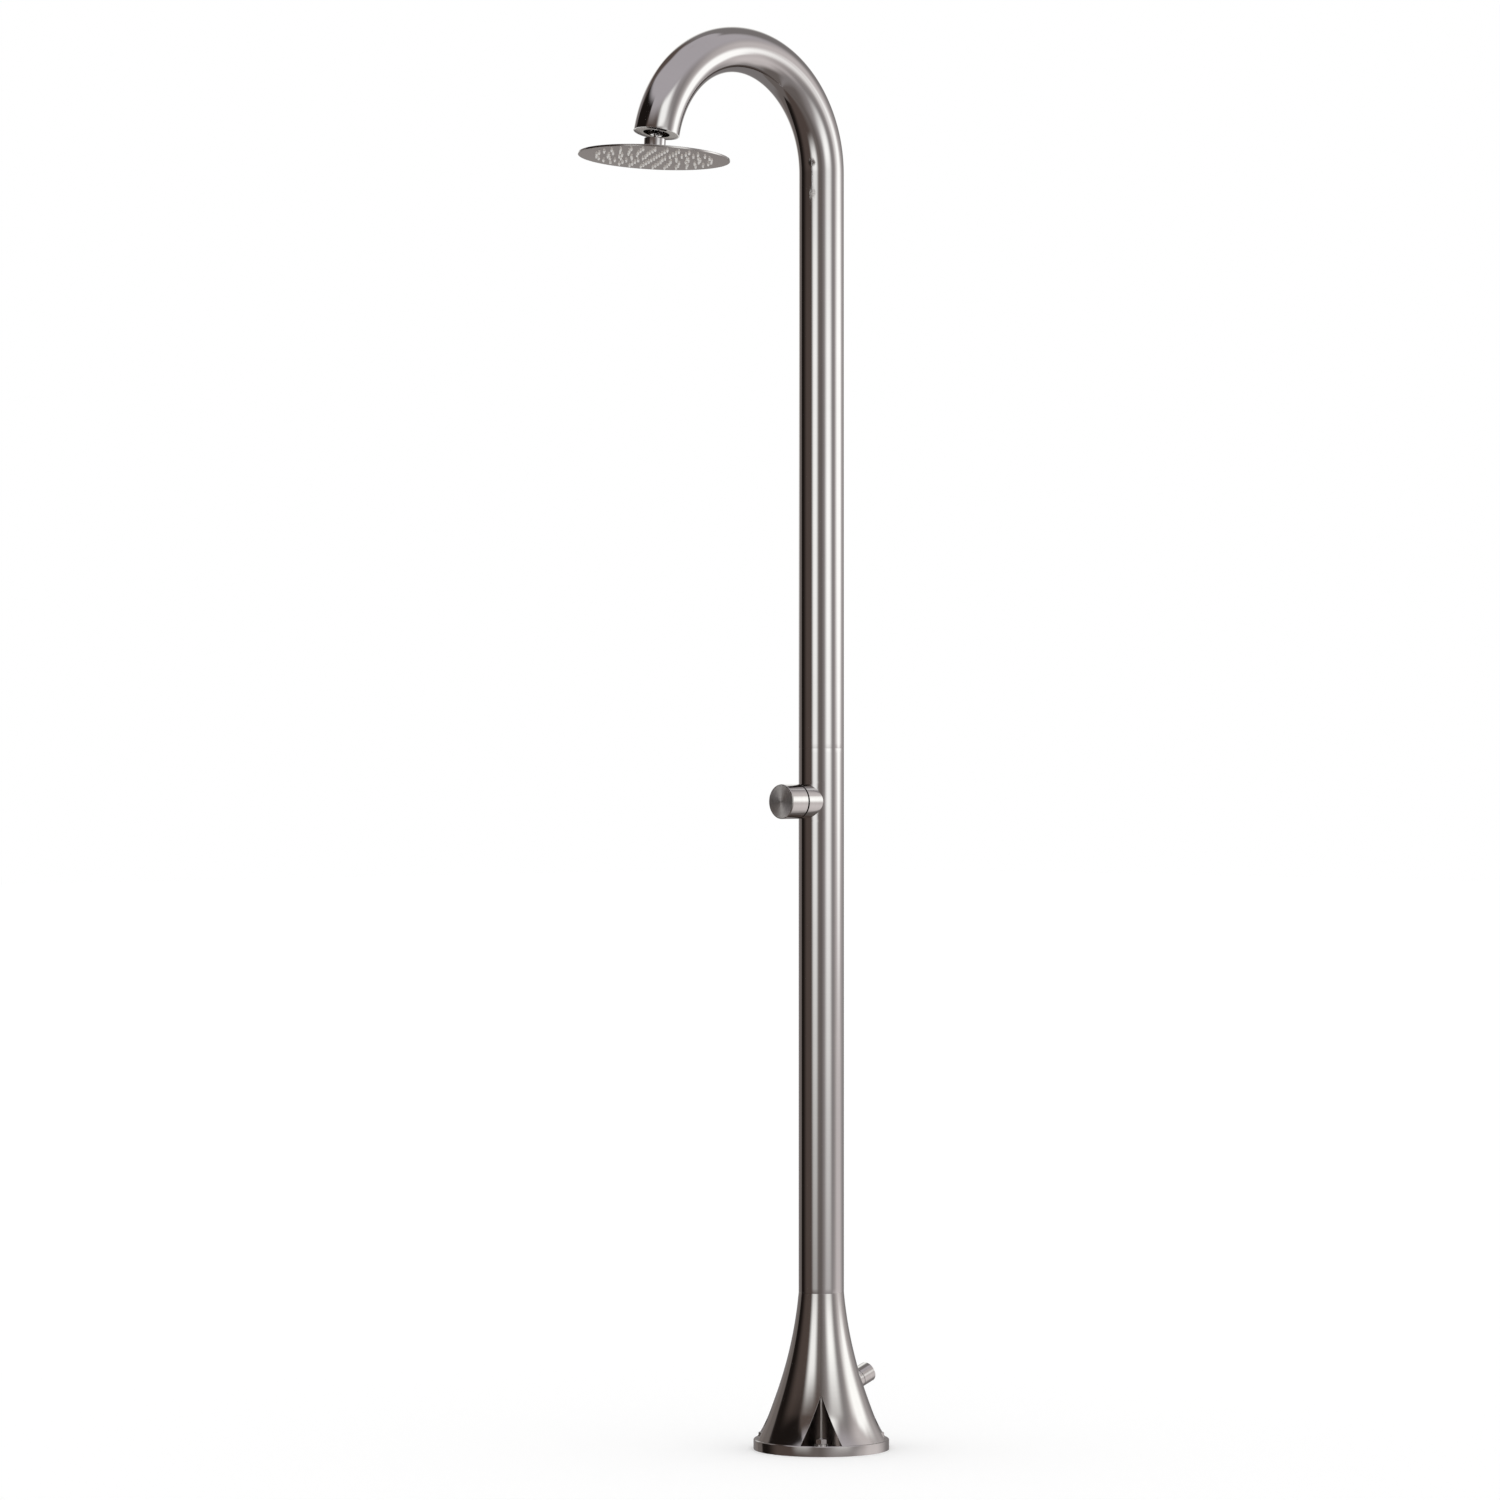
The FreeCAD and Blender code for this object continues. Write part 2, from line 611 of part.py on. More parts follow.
def make_ball_stud():
    """Hollow stud: thread in the carrier, hexagon for the spanner, neck and ball."""
    stud = new_body("ball_stud")
    water = s.ball_waterway / 2
    ball = s.ball_diameter / 2
    neck = s.ball_neck / 2
    bottom = root(ball * ball - water * water)
    top = root(ball * ball - neck * neck)
    thread_start = s.stud_hex_start + s.stud_hex_length
    thread_end = s.ball_drop + s.mouth_depth + s.carrier_thickness
    sketch = new_sketch(stud, "section")
    corners = [(water, -bottom), (neck, top), (neck, thread_start), (s.stud_thread / 2, thread_start),
               (s.stud_thread / 2, thread_end), (water, thread_end)]
    arc = sketch.addGeometry(ball_arc(ball, [math.atan2(-bottom.value, water.value),
                                             math.atan2(top.value, neck.value)]))
    rest = corners[1:] + corners[:1]
    lines = [sketch.addGeometry(Part.LineSegment(point(a), point(b))) for a, b in zip(rest, rest[1:])]
    chain = [arc] + lines
    for piece, following in zip(chain, chain[1:] + chain[:1]):
        sketch.addConstraint(Sketcher.Constraint("Coincident", piece, 2, following, 1))
    for line, (x, y) in zip(lines, rest):
        fix_point(sketch, line, 1, x, y)
    fix_point(sketch, arc, 1, *corners[0])
    bind(sketch, Sketcher.Constraint("Radius", arc, ball.value), "ball", ball)
    revolve(stud, sketch)
    hexagon = new_sketch(stud, "hexagon", "XY_Plane")
    offset_sketch(hexagon, z=s.stud_hex_start)
    draw_hexagon(hexagon, s.stud_hex_flats)
    draw_circle(hexagon, s.ball_waterway)
    pad(stud, hexagon, s.stud_hex_length)
    on_mouth(stud)


def make_liner(label, low_angle, high_angle):
    """Zone of a spherical shell round the ball, between two angles up from its equator."""
    inside = s.ball_diameter / 2 + s.liner_gap
    outside = inside + s.liner_thickness
    liner = new_body(label)
    sketch = new_sketch(liner, "section")
    corners = [(inside * cosine(low_angle), inside * sine(low_angle)),
               (outside * cosine(low_angle), outside * sine(low_angle)),
               (outside * cosine(high_angle), outside * sine(high_angle)),
               (inside * cosine(high_angle), inside * sine(high_angle))]
    angles = [math.radians(low_angle.value), math.radians(high_angle.value)]
    outer, inner = (sketch.addGeometry(ball_arc(size, angles)) for size in (outside, inside))
    low, high = (sketch.addGeometry(Part.LineSegment(point(a), point(b)))
                 for a, b in ((corners[0], corners[1]), (corners[2], corners[3])))
    for constraint in (("Coincident", low, 2, outer, 1), ("Coincident", outer, 2, high, 1),
                       ("Coincident", high, 2, inner, 2), ("Coincident", inner, 1, low, 1),
                       ("Coincident", outer, 3, -1, 1), ("Coincident", inner, 3, -1, 1)):
        sketch.addConstraint(Sketcher.Constraint(*constraint))
    fix_point(sketch, low, 1, *corners[0])
    fix_point(sketch, low, 2, *corners[1])
    for name, geometry, height in (("high_outer", outer, corners[2][1]), ("high_inner", inner, corners[3][1])):
        bind(sketch, Sketcher.Constraint("DistanceY", -1, 1, geometry, 2, height.value), name, height)
    revolve(liner, sketch)
    on_head(liner)


# ---------------------------------------------------------------- shower head
socket_radius = s.ball_diameter / 2 + s.liner_gap * 2 + s.liner_thickness
face_low = -s.head_drop
face_top = face_low + s.face_sheet
mat_top = face_top + s.mat_sheet
rim_top = face_low + s.head_rim
face_radius = s.head_diameter / 2 - s.head_sheet
hub_seat = rim_top + s.head_dish


def draw_socket(sketch, corners, hand):
    """Loop whose first stretch is the socket's arc and whose other sides are straight."""
    ends = [math.atan2(corner[1].value, corner[0].value) for corner in corners[:2]]
    arc = sketch.addGeometry(ball_arc(socket_radius, sorted(ends)))
    first, last = (1, 2) if hand > 0 else (2, 1)
    rest = corners[1:] + corners[:1]
    lines = [sketch.addGeometry(Part.LineSegment(point(a), point(b))) for a, b in zip(rest, rest[1:])]
    sketch.addConstraint(Sketcher.Constraint("Coincident", arc, last, lines[0], 1))
    for line, following in zip(lines, lines[1:]):
        sketch.addConstraint(Sketcher.Constraint("Coincident", line, 2, following, 1))
    sketch.addConstraint(Sketcher.Constraint("Coincident", lines[-1], 2, arc, first))
    for line, (x, y) in zip(lines, rest):
        fix_point(sketch, line, 1, x, y)
    fix_point(sketch, arc, first, *corners[0])
    bind(sketch, Sketcher.Constraint("Radius", arc, socket_radius.value), "socket", socket_radius)


def make_head_collar():
    """Screwed ring that holds the ball in its socket, over the hub of the head."""
    collar = new_body("head_collar")
    sketch = new_sketch(collar, "section")
    throat = s.collar_mouth / 2 - s.collar_throat_step
    thread = s.hub_diameter / 2 + s.liner_gap
    shoulder = s.slip_gap - s.hub_top_drop
    throat_height = root(socket_radius * socket_radius - throat * throat)
    outside = s.collar_diameter / 2
    edge = s.collar_edge
    draw_socket(sketch, [(socket_radius, ZERO), (throat, throat_height), (s.collar_mouth / 2, s.collar_top),
                         (outside - edge, s.collar_top), (outside, s.collar_top - edge),
                         (outside, hub_seat), (thread, hub_seat), (thread, shoulder),
                         (socket_radius, shoulder)], 1)
    revolve(collar, sketch)
    on_head(collar)


def make_head_shell():
    """Thin dished top of the head with its threaded hub, lower half of the socket and rim."""
    shell = new_body("head_back_shell")
    sketch = new_sketch(shell, "section")
    hub = s.hub_diameter / 2
    hub_top = -s.hub_top_drop
    cup = root(socket_radius * socket_radius - hub_top * hub_top)
    water = s.ball_waterway + s.liner_gap
    water_height = -root(socket_radius * socket_radius - water * water)
    rim = s.head_diameter / 2
    shoulder = s.hub_shoulder / 2
    inner_top = rim_top - s.head_sheet
    fold = face_radius - s.rim_fold
    draw_socket(sketch, [(cup, hub_top), (water, water_height),
                         (water, hub_seat - s.head_sheet), (shoulder, hub_seat - s.head_sheet),
                         (fold, inner_top), (face_radius, inner_top), (face_radius, face_low),
                         (rim, face_low), (rim, rim_top - s.rim_edge), (rim - s.rim_edge, rim_top), (fold, rim_top),
                         (shoulder, hub_seat), (hub, hub_seat), (hub, hub_top)], -1)
    revolve(shell, sketch)
    on_head(shell)


def nozzle_places():
    """Centre point and rings of 6, 12, 18 ... nozzles at an even pitch."""
    places = [Vector()]
    for ring in range(1, int(s.nozzle_rings.value) + 1):
        radius = ring * s.nozzle_pitch.value
        for step in range(6 * ring):
            angle = 2 * math.pi * (step + 0.5 * (ring % 2)) / (6 * ring)
            places.append(Vector(radius * math.cos(angle), radius * math.sin(angle), 0))
    return places


def polygon_at(centre, radius, height, corners=8):
    turn = 2 * math.pi / corners
    angles = [turn * step for step in range(corners + 1)]
    return Part.makePolygon([centre + Vector(radius * math.cos(angle), radius * math.sin(angle), height)
                             for angle in angles])


def make_face_and_mat():
    """Steel face with a hole at each nozzle, and the silicone mat whose nibs stand through it."""
    places = nozzle_places()
    gap = s.part_gap.value / 2
    root_radius = s.nozzle_root.value / 2
    tip_radius = s.nozzle_tip.value / 2
    disc_radius = face_radius.value - gap
    outline = Part.Wire(Part.makeCircle(disc_radius, Vector(0, 0, face_low.value)))
    holes = [polygon_at(centre, root_radius + gap, face_low.value) for centre in places]
    pierced = Part.makeFace([outline] + holes, "Part::FaceMakerBullseye")
    plate = pierced.extrude(Vector(0, 0, s.face_sheet.value))
    sheet_disc = Part.makeCylinder(disc_radius, s.mat_sheet.value, Vector(0, 0, face_top.value))
    nibs = [Part.makeLoft([polygon_at(centre, root_radius, face_top.value),
                           polygon_at(centre, tip_radius, face_low.value - s.nozzle_reach.value)], True, True)
            for centre in places]
    mat = sheet_disc.fuse(nibs).removeSplitter()
    for label, shape in (("face_plate", plate), ("nozzle_mat", mat)):
        feature = doc.addObject("Part::Feature", label)
        feature.Shape = shape
        on_head(feature)


# ---------------------------------------------------------------- mixer and control
def make_mixer():
    """Brass body across the column: two inlets below, one outlet above, neck to the front."""
    mixer = new_body("mixer_body")
    barrel = new_sketch(mixer, "barrel", "XZ_Plane")
    draw_circle(barrel, s.mixer_diameter)
    pad(mixer, barrel, s.mixer_back + s.mixer_front)
    barrel.AttachmentOffset = Placement(Vector(0, 0, -s.mixer_back.value), Rotation())
    barrel.setExpression("AttachmentOffset.Base.z", (-s.mixer_back).text)
    neck = new_sketch(mixer, "neck", "XZ_Plane")
    draw_circle(neck, s.neck_diameter)
    pad(mixer, neck, s.neck_reach)
    ports = (("cold", line_offset, True), ("hot", -line_offset, True), ("outlet", ZERO, False))
    for name, x, backwards in ports:
        port = new_sketch(mixer, name, "XY_Plane")
        draw_circle(port, s.port_diameter, x)
        pad(mixer, port, s.port_reach, backwards)
    chamber_start = s.neck_reach - s.cartridge_length - s.cartridge_nut_length
    bore(mixer, "chamber", s.cartridge_diameter + s.part_gap, s.neck_reach, y=-chamber_start,
         turn=(X_DIRECTION, 90))
    place(mixer, z=s.control_height)
    return mixer


def make_valve_boss():
    """Round sleeve between the column and the knob, hollowed to sit on the column."""
    boss = new_body("valve_boss")
    sketch = new_sketch(boss, "section")
    inside = s.neck_diameter / 2 + s.slip_gap
    draw_loop(sketch, [(inside, column_bore), (s.control_diameter / 2, column_bore),
                       (s.control_diameter / 2, s.boss_reach - s.knob_edge),
                       (s.control_diameter / 2 - s.knob_edge, s.boss_reach), (inside, s.boss_reach)])
    revolve(boss, sketch)
    bore(boss, "saddle", s.column_diameter, s.control_diameter + PAST * 2, y=-(s.control_diameter / 2 + PAST),
         turn=(X_DIRECTION, -90))
    on_control(boss)


def make_cartridge():
    start = s.neck_reach - s.cartridge_nut_length - s.cartridge_length
    end = s.neck_reach - s.cartridge_nut_length
    radius = s.cartridge_diameter / 2
    stem = s.stem_diameter / 2
    stem_hole = stem + s.running_gap
    on_control(turned("cartridge_body", [(ZERO, start), (radius, start), (radius, end), (stem_hole, end),
                                         (stem_hole, end - s.stem_inside), (ZERO, end - s.stem_inside)]))
    nut_hole = stem + s.stem_clearance
    on_control(turned("cartridge_nut", [(nut_hole, end), (radius, end), (radius, s.neck_reach),
                                        (nut_hole, s.neck_reach)]))
    stem_start = end - s.stem_inside + s.part_gap
    stem_end = s.boss_reach + s.control_gap + s.knob_socket_depth - s.part_gap
    on_control(cylinder_between("cartridge_stem", s.stem_diameter, stem_start, stem_end))


def grub_screw(label, start, place_along, backwards):
    """Radial screw, from start outwards along -Y (or +Y), at place_along on a knob's axis."""
    screw = new_body(label)
    section = new_sketch(screw, "section", "XZ_Plane")
    draw_circle(section, s.grub_screw, ZERO, place_along)
    section.setExpression("AttachmentOffset.Base.z", (-start if backwards else start).text)
    pad(screw, section, s.grub_screw_length, backwards)
    return screw


def make_control_knob():
    back = s.boss_reach + s.control_gap
    front = back + s.knob_length
    radius = s.control_diameter / 2
    edge = s.knob_edge
    hollow = s.knob_hollow / 2
    socket = s.stem_diameter / 2 + s.part_gap / 2
    knob = turned("control_knob", [(hollow, back), (radius - edge, back), (radius, back + edge),
                                   (radius, front - edge), (radius - edge, front), (ZERO, front),
                                   (ZERO, back + s.knob_socket_depth), (socket, back + s.knob_socket_depth),
                                   (socket, back + s.knob_hollow_depth),
                                   (hollow, back + s.knob_hollow_depth)])
    screw_place = back + (s.knob_hollow_depth + s.knob_socket_depth) / 2
    bore(knob, "screw_hole", s.grub_screw + s.part_gap, s.control_diameter, z=screw_place,
         turn=(X_DIRECTION, 90))
    on_control(knob)
    on_control(grub_screw("knob_grub_screw", socket + s.part_gap, screw_place, False))


# ---------------------------------------------------------------- water lines
def hex_nut(label, flats, hole, low, high, x=ZERO, seat=None, passage=None):
    """Hexagon nut along Z with a wide thread from below and a smaller passage above it."""
    nut = new_body(label)
    outline = new_sketch(nut, "outline", "XY_Plane")
    offset_sketch(outline, z=low)
    draw_hexagon(outline, flats)
    draw_circle(outline, passage if passage is not None else hole)
    pad(nut, outline, high - low)
    if seat is not None:
        bore(nut, "thread", hole, seat + PAST, z=low - PAST)
    place(nut, x)
    return nut


def cylinder_between(label, diameter, low, high, x=ZERO):
    return place(turned(label, [(ZERO, low), (diameter / 2, low), (diameter / 2, high), (ZERO, high)]), x)


def make_water_lines():
    nut_top = s.supply_nut_rise + s.supply_nut_length
    hose_low = s.supply_nut_rise + s.supply_nut_seat + s.part_gap
    inlet = s.control_height - s.port_reach
    tee_top = s.tee_bottom + s.tee_height
    for label, x in (("cold_supply_nut", line_offset), ("hot_supply_nut", -line_offset)):
        hex_nut(label, s.supply_nut_flats, s.supply_nut_bore, s.supply_nut_rise, nut_top, x,
                s.supply_nut_seat, s.hose_diameter + s.part_gap)
    cylinder_between("cold_hose_lower", s.hose_diameter, hose_low, s.tee_bottom, line_offset)
    cylinder_between("cold_hose_upper", s.hose_diameter, tee_top, inlet, line_offset)
    cylinder_between("hot_hose", s.hose_diameter, hose_low, inlet, -line_offset)
    tee = new_body("cold_tee")
    block = new_sketch(tee, "block", "XY_Plane")
    offset_sketch(block, z=s.tee_bottom)
    half = s.tee_width / 2
    branch_end = s.tee_branch + s.feed_hose / 2 + s.tee_wall
    draw_loop(block, [(-half, -half), (half, -half), (half, branch_end), (-half, branch_end)])
    pad(tee, block, s.tee_height)
    place(tee, line_offset)
    inner = s.hose_diameter.value / 2 + s.part_gap.value / 2
    outer = inner + s.ferrule_wall.value
    length = s.ferrule_length.value
    places = [(line_offset, nut_top), (line_offset, s.tee_bottom - s.ferrule_length), (line_offset, tee_top),
              (line_offset, inlet - s.ferrule_length), (-line_offset, nut_top),
              (-line_offset, inlet - s.ferrule_length)]
    ring = Part.makeCylinder(outer, length).cut(Part.makeCylinder(inner, length))
    rings = [ring.translated(point3(x, ZERO, z)) for x, z in places]
    group = doc.addObject("Part::Feature", "hose_ferrules")
    group.Shape = Part.makeCompound(rings)


def make_riser():
    start = s.control_height + s.port_reach
    carrier_top = s.mouth_depth + s.carrier_thickness + s.carrier_hub_length
    bent_tube("riser_pipe", s.riser_diameter, s.riser_diameter - s.riser_wall * 2, start, carrier_top)
    hex_nut("riser_lower_nut", s.union_flats, s.riser_diameter + s.part_gap, start, start + s.union_length)
    upper = hex_nut("riser_upper_nut", s.union_flats, s.riser_diameter + s.union_slack,
                    s.ball_drop + carrier_top, s.ball_drop + carrier_top + s.union_length)
    on_mouth(upper)


# ---------------------------------------------------------------- foot tap
def make_foot_tap():
    radius = s.tap_diameter / 2
    body_radius = s.tap_body_diameter / 2
    spindle = s.tap_spindle / 2
    boss = turned("foot_tap_boss", [(body_radius + s.part_gap, s.tap_boss_start), (radius, s.tap_boss_start),
                                    (radius, s.tap_boss_end), (body_radius + s.part_gap, s.tap_boss_end)])
    on_tap(boss)
    bore(boss, "outlet", s.tap_outlet + s.part_gap, s.tap_diameter, z=s.tap_outlet_place,
         turn=(X_DIRECTION, -90))
    insert = new_body("foot_outlet_insert")
    ring = new_sketch(insert, "ring", "XZ_Plane")
    draw_circle(ring, s.tap_outlet, ZERO, s.tap_outlet_place)
    draw_circle(ring, s.tap_outlet - s.tap_outlet_wall * 2, ZERO, s.tap_outlet_place)
    ring.setExpression("AttachmentOffset.Base.z", (-(body_radius + s.part_gap * 2)).text)
    pad(insert, ring, radius - body_radius - s.part_gap * 3, True)
    on_tap(insert)
    shoulder = s.tap_outlet_place - s.tap_outlet / 2 - s.tap_outlet_margin
    nose = spindle + s.tap_nose_wall
    hole = spindle + s.running_gap
    hole_end = s.tap_nose_end - s.tap_bore_depth
    on_tap(turned("foot_tap_body", [(ZERO, s.tap_body_start), (body_radius, s.tap_body_start),
                                    (body_radius, shoulder), (nose, shoulder), (nose, s.tap_nose_end),
                                    (hole, s.tap_nose_end), (hole, hole_end), (ZERO, hole_end)]))
    knob_back = s.tap_boss_end + s.tap_gap
    socket = spindle + s.part_gap / 2
    edge = s.tap_edge
    socket_end = s.tap_end - s.tap_knob_front
    knob = turned("foot_tap_knob", [(socket, knob_back), (radius, knob_back), (radius, s.tap_end - edge),
                                    (radius - edge, s.tap_end), (ZERO, s.tap_end), (ZERO, socket_end),
                                    (socket, socket_end)])
    screw_place = (knob_back + s.tap_end) / 2
    bore(knob, "screw_hole", s.grub_screw + s.part_gap, s.tap_diameter, z=screw_place,
         turn=(X_DIRECTION, -90))
    on_tap(knob)
    on_tap(grub_screw("foot_knob_screw", socket + s.part_gap, screw_place, True))
    on_tap(cylinder_between("foot_tap_spindle", s.tap_spindle, hole_end + s.part_gap,
                            socket_end - s.part_gap))


def make_feed_hose():
    """Small hose from the tee's branch down to the foot tap, with its nipple on the tap."""
    tee_y = s.tee_branch.value
    tap_y = s.tap_nipple_place.value
    low = s.tap_nipple_top.value
    high = s.tee_bottom.value
    run = s.feed_hose_run.value
    x = line_offset.value
    nipple_low = s.tap_axis_height.value + s.tap_body_diameter.value / 2
    nipple = Part.makeCylinder(s.tap_nipple.value / 2, low - nipple_low, Vector(0, tap_y, nipple_low))
    feature = doc.addObject("Part::Feature", "foot_tap_nipple")
    lean = Rotation(X_DIRECTION, s.tap_lean.value - 90)
    barrel = Part.makeCylinder(s.tap_body_diameter.value / 2, s.tap_end.value,
                               Vector(0, 0, s.tap_axis_height.value), lean.multVec(Z_DIRECTION))
    feature.Shape = nipple.cut(barrel)
    route = [Vector(0, tap_y, low), Vector(0, tap_y, low + run),
             Vector(x, tee_y, high - run), Vector(x, tee_y, high)]
    hose = doc.addObject("Part::Feature", "foot_feed_hose")
    hose.Shape = tube_along(route, s.feed_hose.value)


def tube_along(route, diameter):
    """Round tube along straight runs joined by tangent arcs; prints the arcs' radii."""
    edges = []
    start = route[0]
    for before, corner, after in zip(route, route[1:], route[2:]):
        inward = (before - corner).normalize()
        outward = (after - corner).normalize()
        half_turn = (math.pi - inward.getAngle(outward)) / 2
        setback = 0.45 * min((before - corner).Length, (after - corner).Length)
        radius = setback / math.tan(half_turn)
        first, last = corner + inward * setback, corner + outward * setback
        bisector = (inward + outward).normalize()
        middle = corner + bisector * (radius / math.cos(half_turn) - radius)
        edges += [Part.LineSegment(start, first).toShape(), Part.Arc(first, middle, last).toShape()]
        start = last
        print(f"arc radius {radius:.1f} mm")
    edges.append(Part.LineSegment(start, route[-1]).toShape())
    path = Part.Wire(edges)
    circle = Part.Wire(Part.makeCircle(diameter / 2, route[0], route[1] - route[0]))
    tube = path.makePipeShell([circle], True, False)
    section = math.pi * diameter ** 2 / 4
    print(f"tube volume {tube.Volume:.1f}, section times length {section * path.Length:.1f} mm3")
    return tube


PARTS = (make_base_plate, make_base_flare, make_core_tube, make_gussets, make_anchors, make_lower_column,
         make_upper_column, make_joint_spigot, make_set_screws, make_mouth, make_ball_stud, make_head_collar,
         make_head_shell, make_face_and_mat, make_mixer, make_valve_boss, make_cartridge, make_control_knob,
         make_water_lines, make_riser, make_foot_tap, make_feed_hose)
for make_part in PARTS:
    make_part()
make_liner("upper_ball_liner", s.upper_liner_low, s.upper_liner_high)
make_liner("lower_ball_liner", s.lower_liner_low, s.lower_liner_high)
doc.recompute()


# ---------------------------------------------------------------- checks and export
def check_and_export():
    """Stops if an object failed, then writes each sub-part to its own STEP file."""
    failed = [item.Name for item in doc.Objects if {"Invalid", "Error"} & set(item.State)]
    if failed:
        raise RuntimeError(f"failed objects: {failed}")
    nodes = [item for item in doc.Objects
             if item.TypeId == "PartDesign::Body" or item.TypeId == "Part::Feature"]
    for node in nodes:
        if node.Shape.isNull() or not node.Shape.isValid() or not node.Shape.Solids:
            raise RuntimeError(f"{node.Label} has no valid shape")
    os.makedirs("parts", exist_ok=True)
    for node in nodes:
        node.Shape.exportStep(f"parts/{node.Label}.step")
        print(f"{node.Label}: {len(node.Shape.Solids)} solid, {node.Shape.Volume / 1000:.2f} cm3")


check_and_export()
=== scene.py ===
"""Looks of an outdoor shower post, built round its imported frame.

Metres, +Z up. The shower head and the control knob face -Y, the foot tap faces +Y.
Every turned or bent piece is one profile of (radius, distance) rows carried round
and along an axis. Each sheet of points keeps two things for its finish: a UV map
whose U runs along the brushing, and a "grain" attribute whose X and Y go round the
axis and whose Z counts the distance across the brushing, so no seam shows.
"""

import json
import logging
import math
from dataclasses import dataclass, field
from enum import Enum
from typing import Callable, Iterable, Sequence

import bmesh
import bpy
import numpy as np
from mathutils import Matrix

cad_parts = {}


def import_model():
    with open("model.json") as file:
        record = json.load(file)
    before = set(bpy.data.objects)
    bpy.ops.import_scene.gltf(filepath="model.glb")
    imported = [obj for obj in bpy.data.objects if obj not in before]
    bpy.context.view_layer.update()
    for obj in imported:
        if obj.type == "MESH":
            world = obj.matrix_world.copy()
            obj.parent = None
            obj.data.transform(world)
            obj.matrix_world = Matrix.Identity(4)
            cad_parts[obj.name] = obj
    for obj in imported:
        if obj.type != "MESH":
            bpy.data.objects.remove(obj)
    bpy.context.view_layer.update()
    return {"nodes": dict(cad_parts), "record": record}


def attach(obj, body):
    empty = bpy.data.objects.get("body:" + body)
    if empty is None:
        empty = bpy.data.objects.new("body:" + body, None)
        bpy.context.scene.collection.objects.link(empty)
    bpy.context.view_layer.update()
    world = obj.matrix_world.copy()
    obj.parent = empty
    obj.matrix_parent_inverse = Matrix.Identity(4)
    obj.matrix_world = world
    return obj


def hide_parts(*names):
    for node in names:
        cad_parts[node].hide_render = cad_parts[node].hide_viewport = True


LOG = logging.getLogger("shower_post")
Array = np.ndarray
Color = tuple[float, float, float]
MM = 0.001
TURN = 2 * math.pi
SEAM = 2e-6          # points nearer than this are one, in metres
DRILL_REACH = 0.2    # farthest that a wall lies along a drill, in metres
HALVINGS = 40        # steps of the search for a drill's side in a wall
HOLE_STEPS = 24      # points round a hole that size its window
PATCH_ROWS = 6       # rows from a window's edge to its hole


# ------------------------------------------------------------------ shapes
@dataclass(frozen=True)
class Seat:
    """Where a turned piece sits: the origin of its axis, and its lean about +X in degrees."""

    origin: tuple[float, float, float] = (0.0, 0.0, 0.0)
    lean: float = 0.0

    @property
    def axes(self) -> Array:
        """The seat's X, Y and Z as the columns of a matrix."""
        c, s = math.cos(math.radians(self.lean)), math.sin(math.radians(self.lean))
        return np.array([[1.0, 0.0, 0.0], [0.0, c, -s], [0.0, s, c]])

    def frame(self, distance: Array) -> tuple[Array, Array, Array]:
        """Centre and the two directions across the axis at each distance along it.

        Args:
            distance: Distances along the seat's Z axis.

        Returns:
            Centres, X directions and Y directions, one row for each distance.
        """
        across, out, along = self.axes.T
        ones = np.ones((len(distance), 1))
        return np.array(self.origin) + distance[:, None] * along, ones * across, ones * out

    def carry(self, points: Array) -> Array:
        """Carries points from the seat's own frame to the post's."""
        return points @ self.axes.T + np.array(self.origin)


@dataclass(frozen=True)
class Gooseneck:
    """Path straight up, then round an arc that falls towards -Y."""

    start: float
    bend_start: float
    bend_radius: float
    sweep: float

    @property
    def length(self) -> float:
        """Length of the whole path."""
        return self.bend_start - self.start + self.bend_radius * math.radians(self.sweep)

    def frame(self, distance: Array) -> tuple[Array, Array, Array]:
        """Centre and cross directions of the path.

        Past the straight, the angle a is the distance over the bend radius R: the centre
        is (0, -R (1 - cos a), z + R sin a) and the outward direction (0, cos a, sin a).

        Args:
            distance: Distances along the path from its lower end.

        Returns:
            Centres, X directions and outward directions, one row for each distance.
        """
        straight = self.bend_start - self.start
        angle = np.maximum(distance - straight, 0.0) / self.bend_radius
        zero, out, up = np.zeros_like(distance), np.cos(angle), np.sin(angle)
        height = self.start + np.minimum(distance, straight) + self.bend_radius * up
        centre = np.stack([zero, -self.bend_radius * (1 - out), height], 1)
        return centre, np.stack([zero + 1, zero, zero], 1), np.stack([zero, out, up], 1)


@dataclass
class Sheet:
    """A grid of points with its texture places.

    Attributes:
        points: Rows by columns by 3.
        uv: Rows by columns by 2, U along the brushing, in metres.
        grain: Rows by columns by 3, free of seams round the axis.
        keep: Which of the grid's faces are there; all of them where it is None.
    """

    points: Array
    uv: Array
    grain: Array
    keep: Array | None = None


@dataclass(frozen=True)
class Drill:
    """Round hole, in the frame of what it goes into, in metres.

    Attributes:
        origin: A point on its axis.
        direction: The way out along its axis.
        radius: Its radius.
        floor: Distance from the origin to its flat end, where it is blind.
    """

    origin: tuple[float, float, float]
    direction: tuple[float, float, float]
    radius: float
    floor: float = 0.0

    def side(self, spin: Array) -> tuple[Array, Array]:
        """Points round the drill at each angle, and the direction that it runs in.

        With d the direction and v the part of +Z square to it, a point is
        o + h (cos t (v x d) + sin t v).

        Args:
            spin: Angles round the drill.

        Returns:
            The points, one row for each angle, and the unit direction.
        """
        along = np.array(self.direction) / np.linalg.norm(self.direction)
        up = np.array([0.0, 0.0, 1.0]) - along[2] * along
        up /= np.linalg.norm(up)
        aside = np.cross(up, along)
        ring = np.cos(spin)[:, None] * aside + np.sin(spin)[:, None] * up
        return np.array(self.origin) + self.radius * ring, along


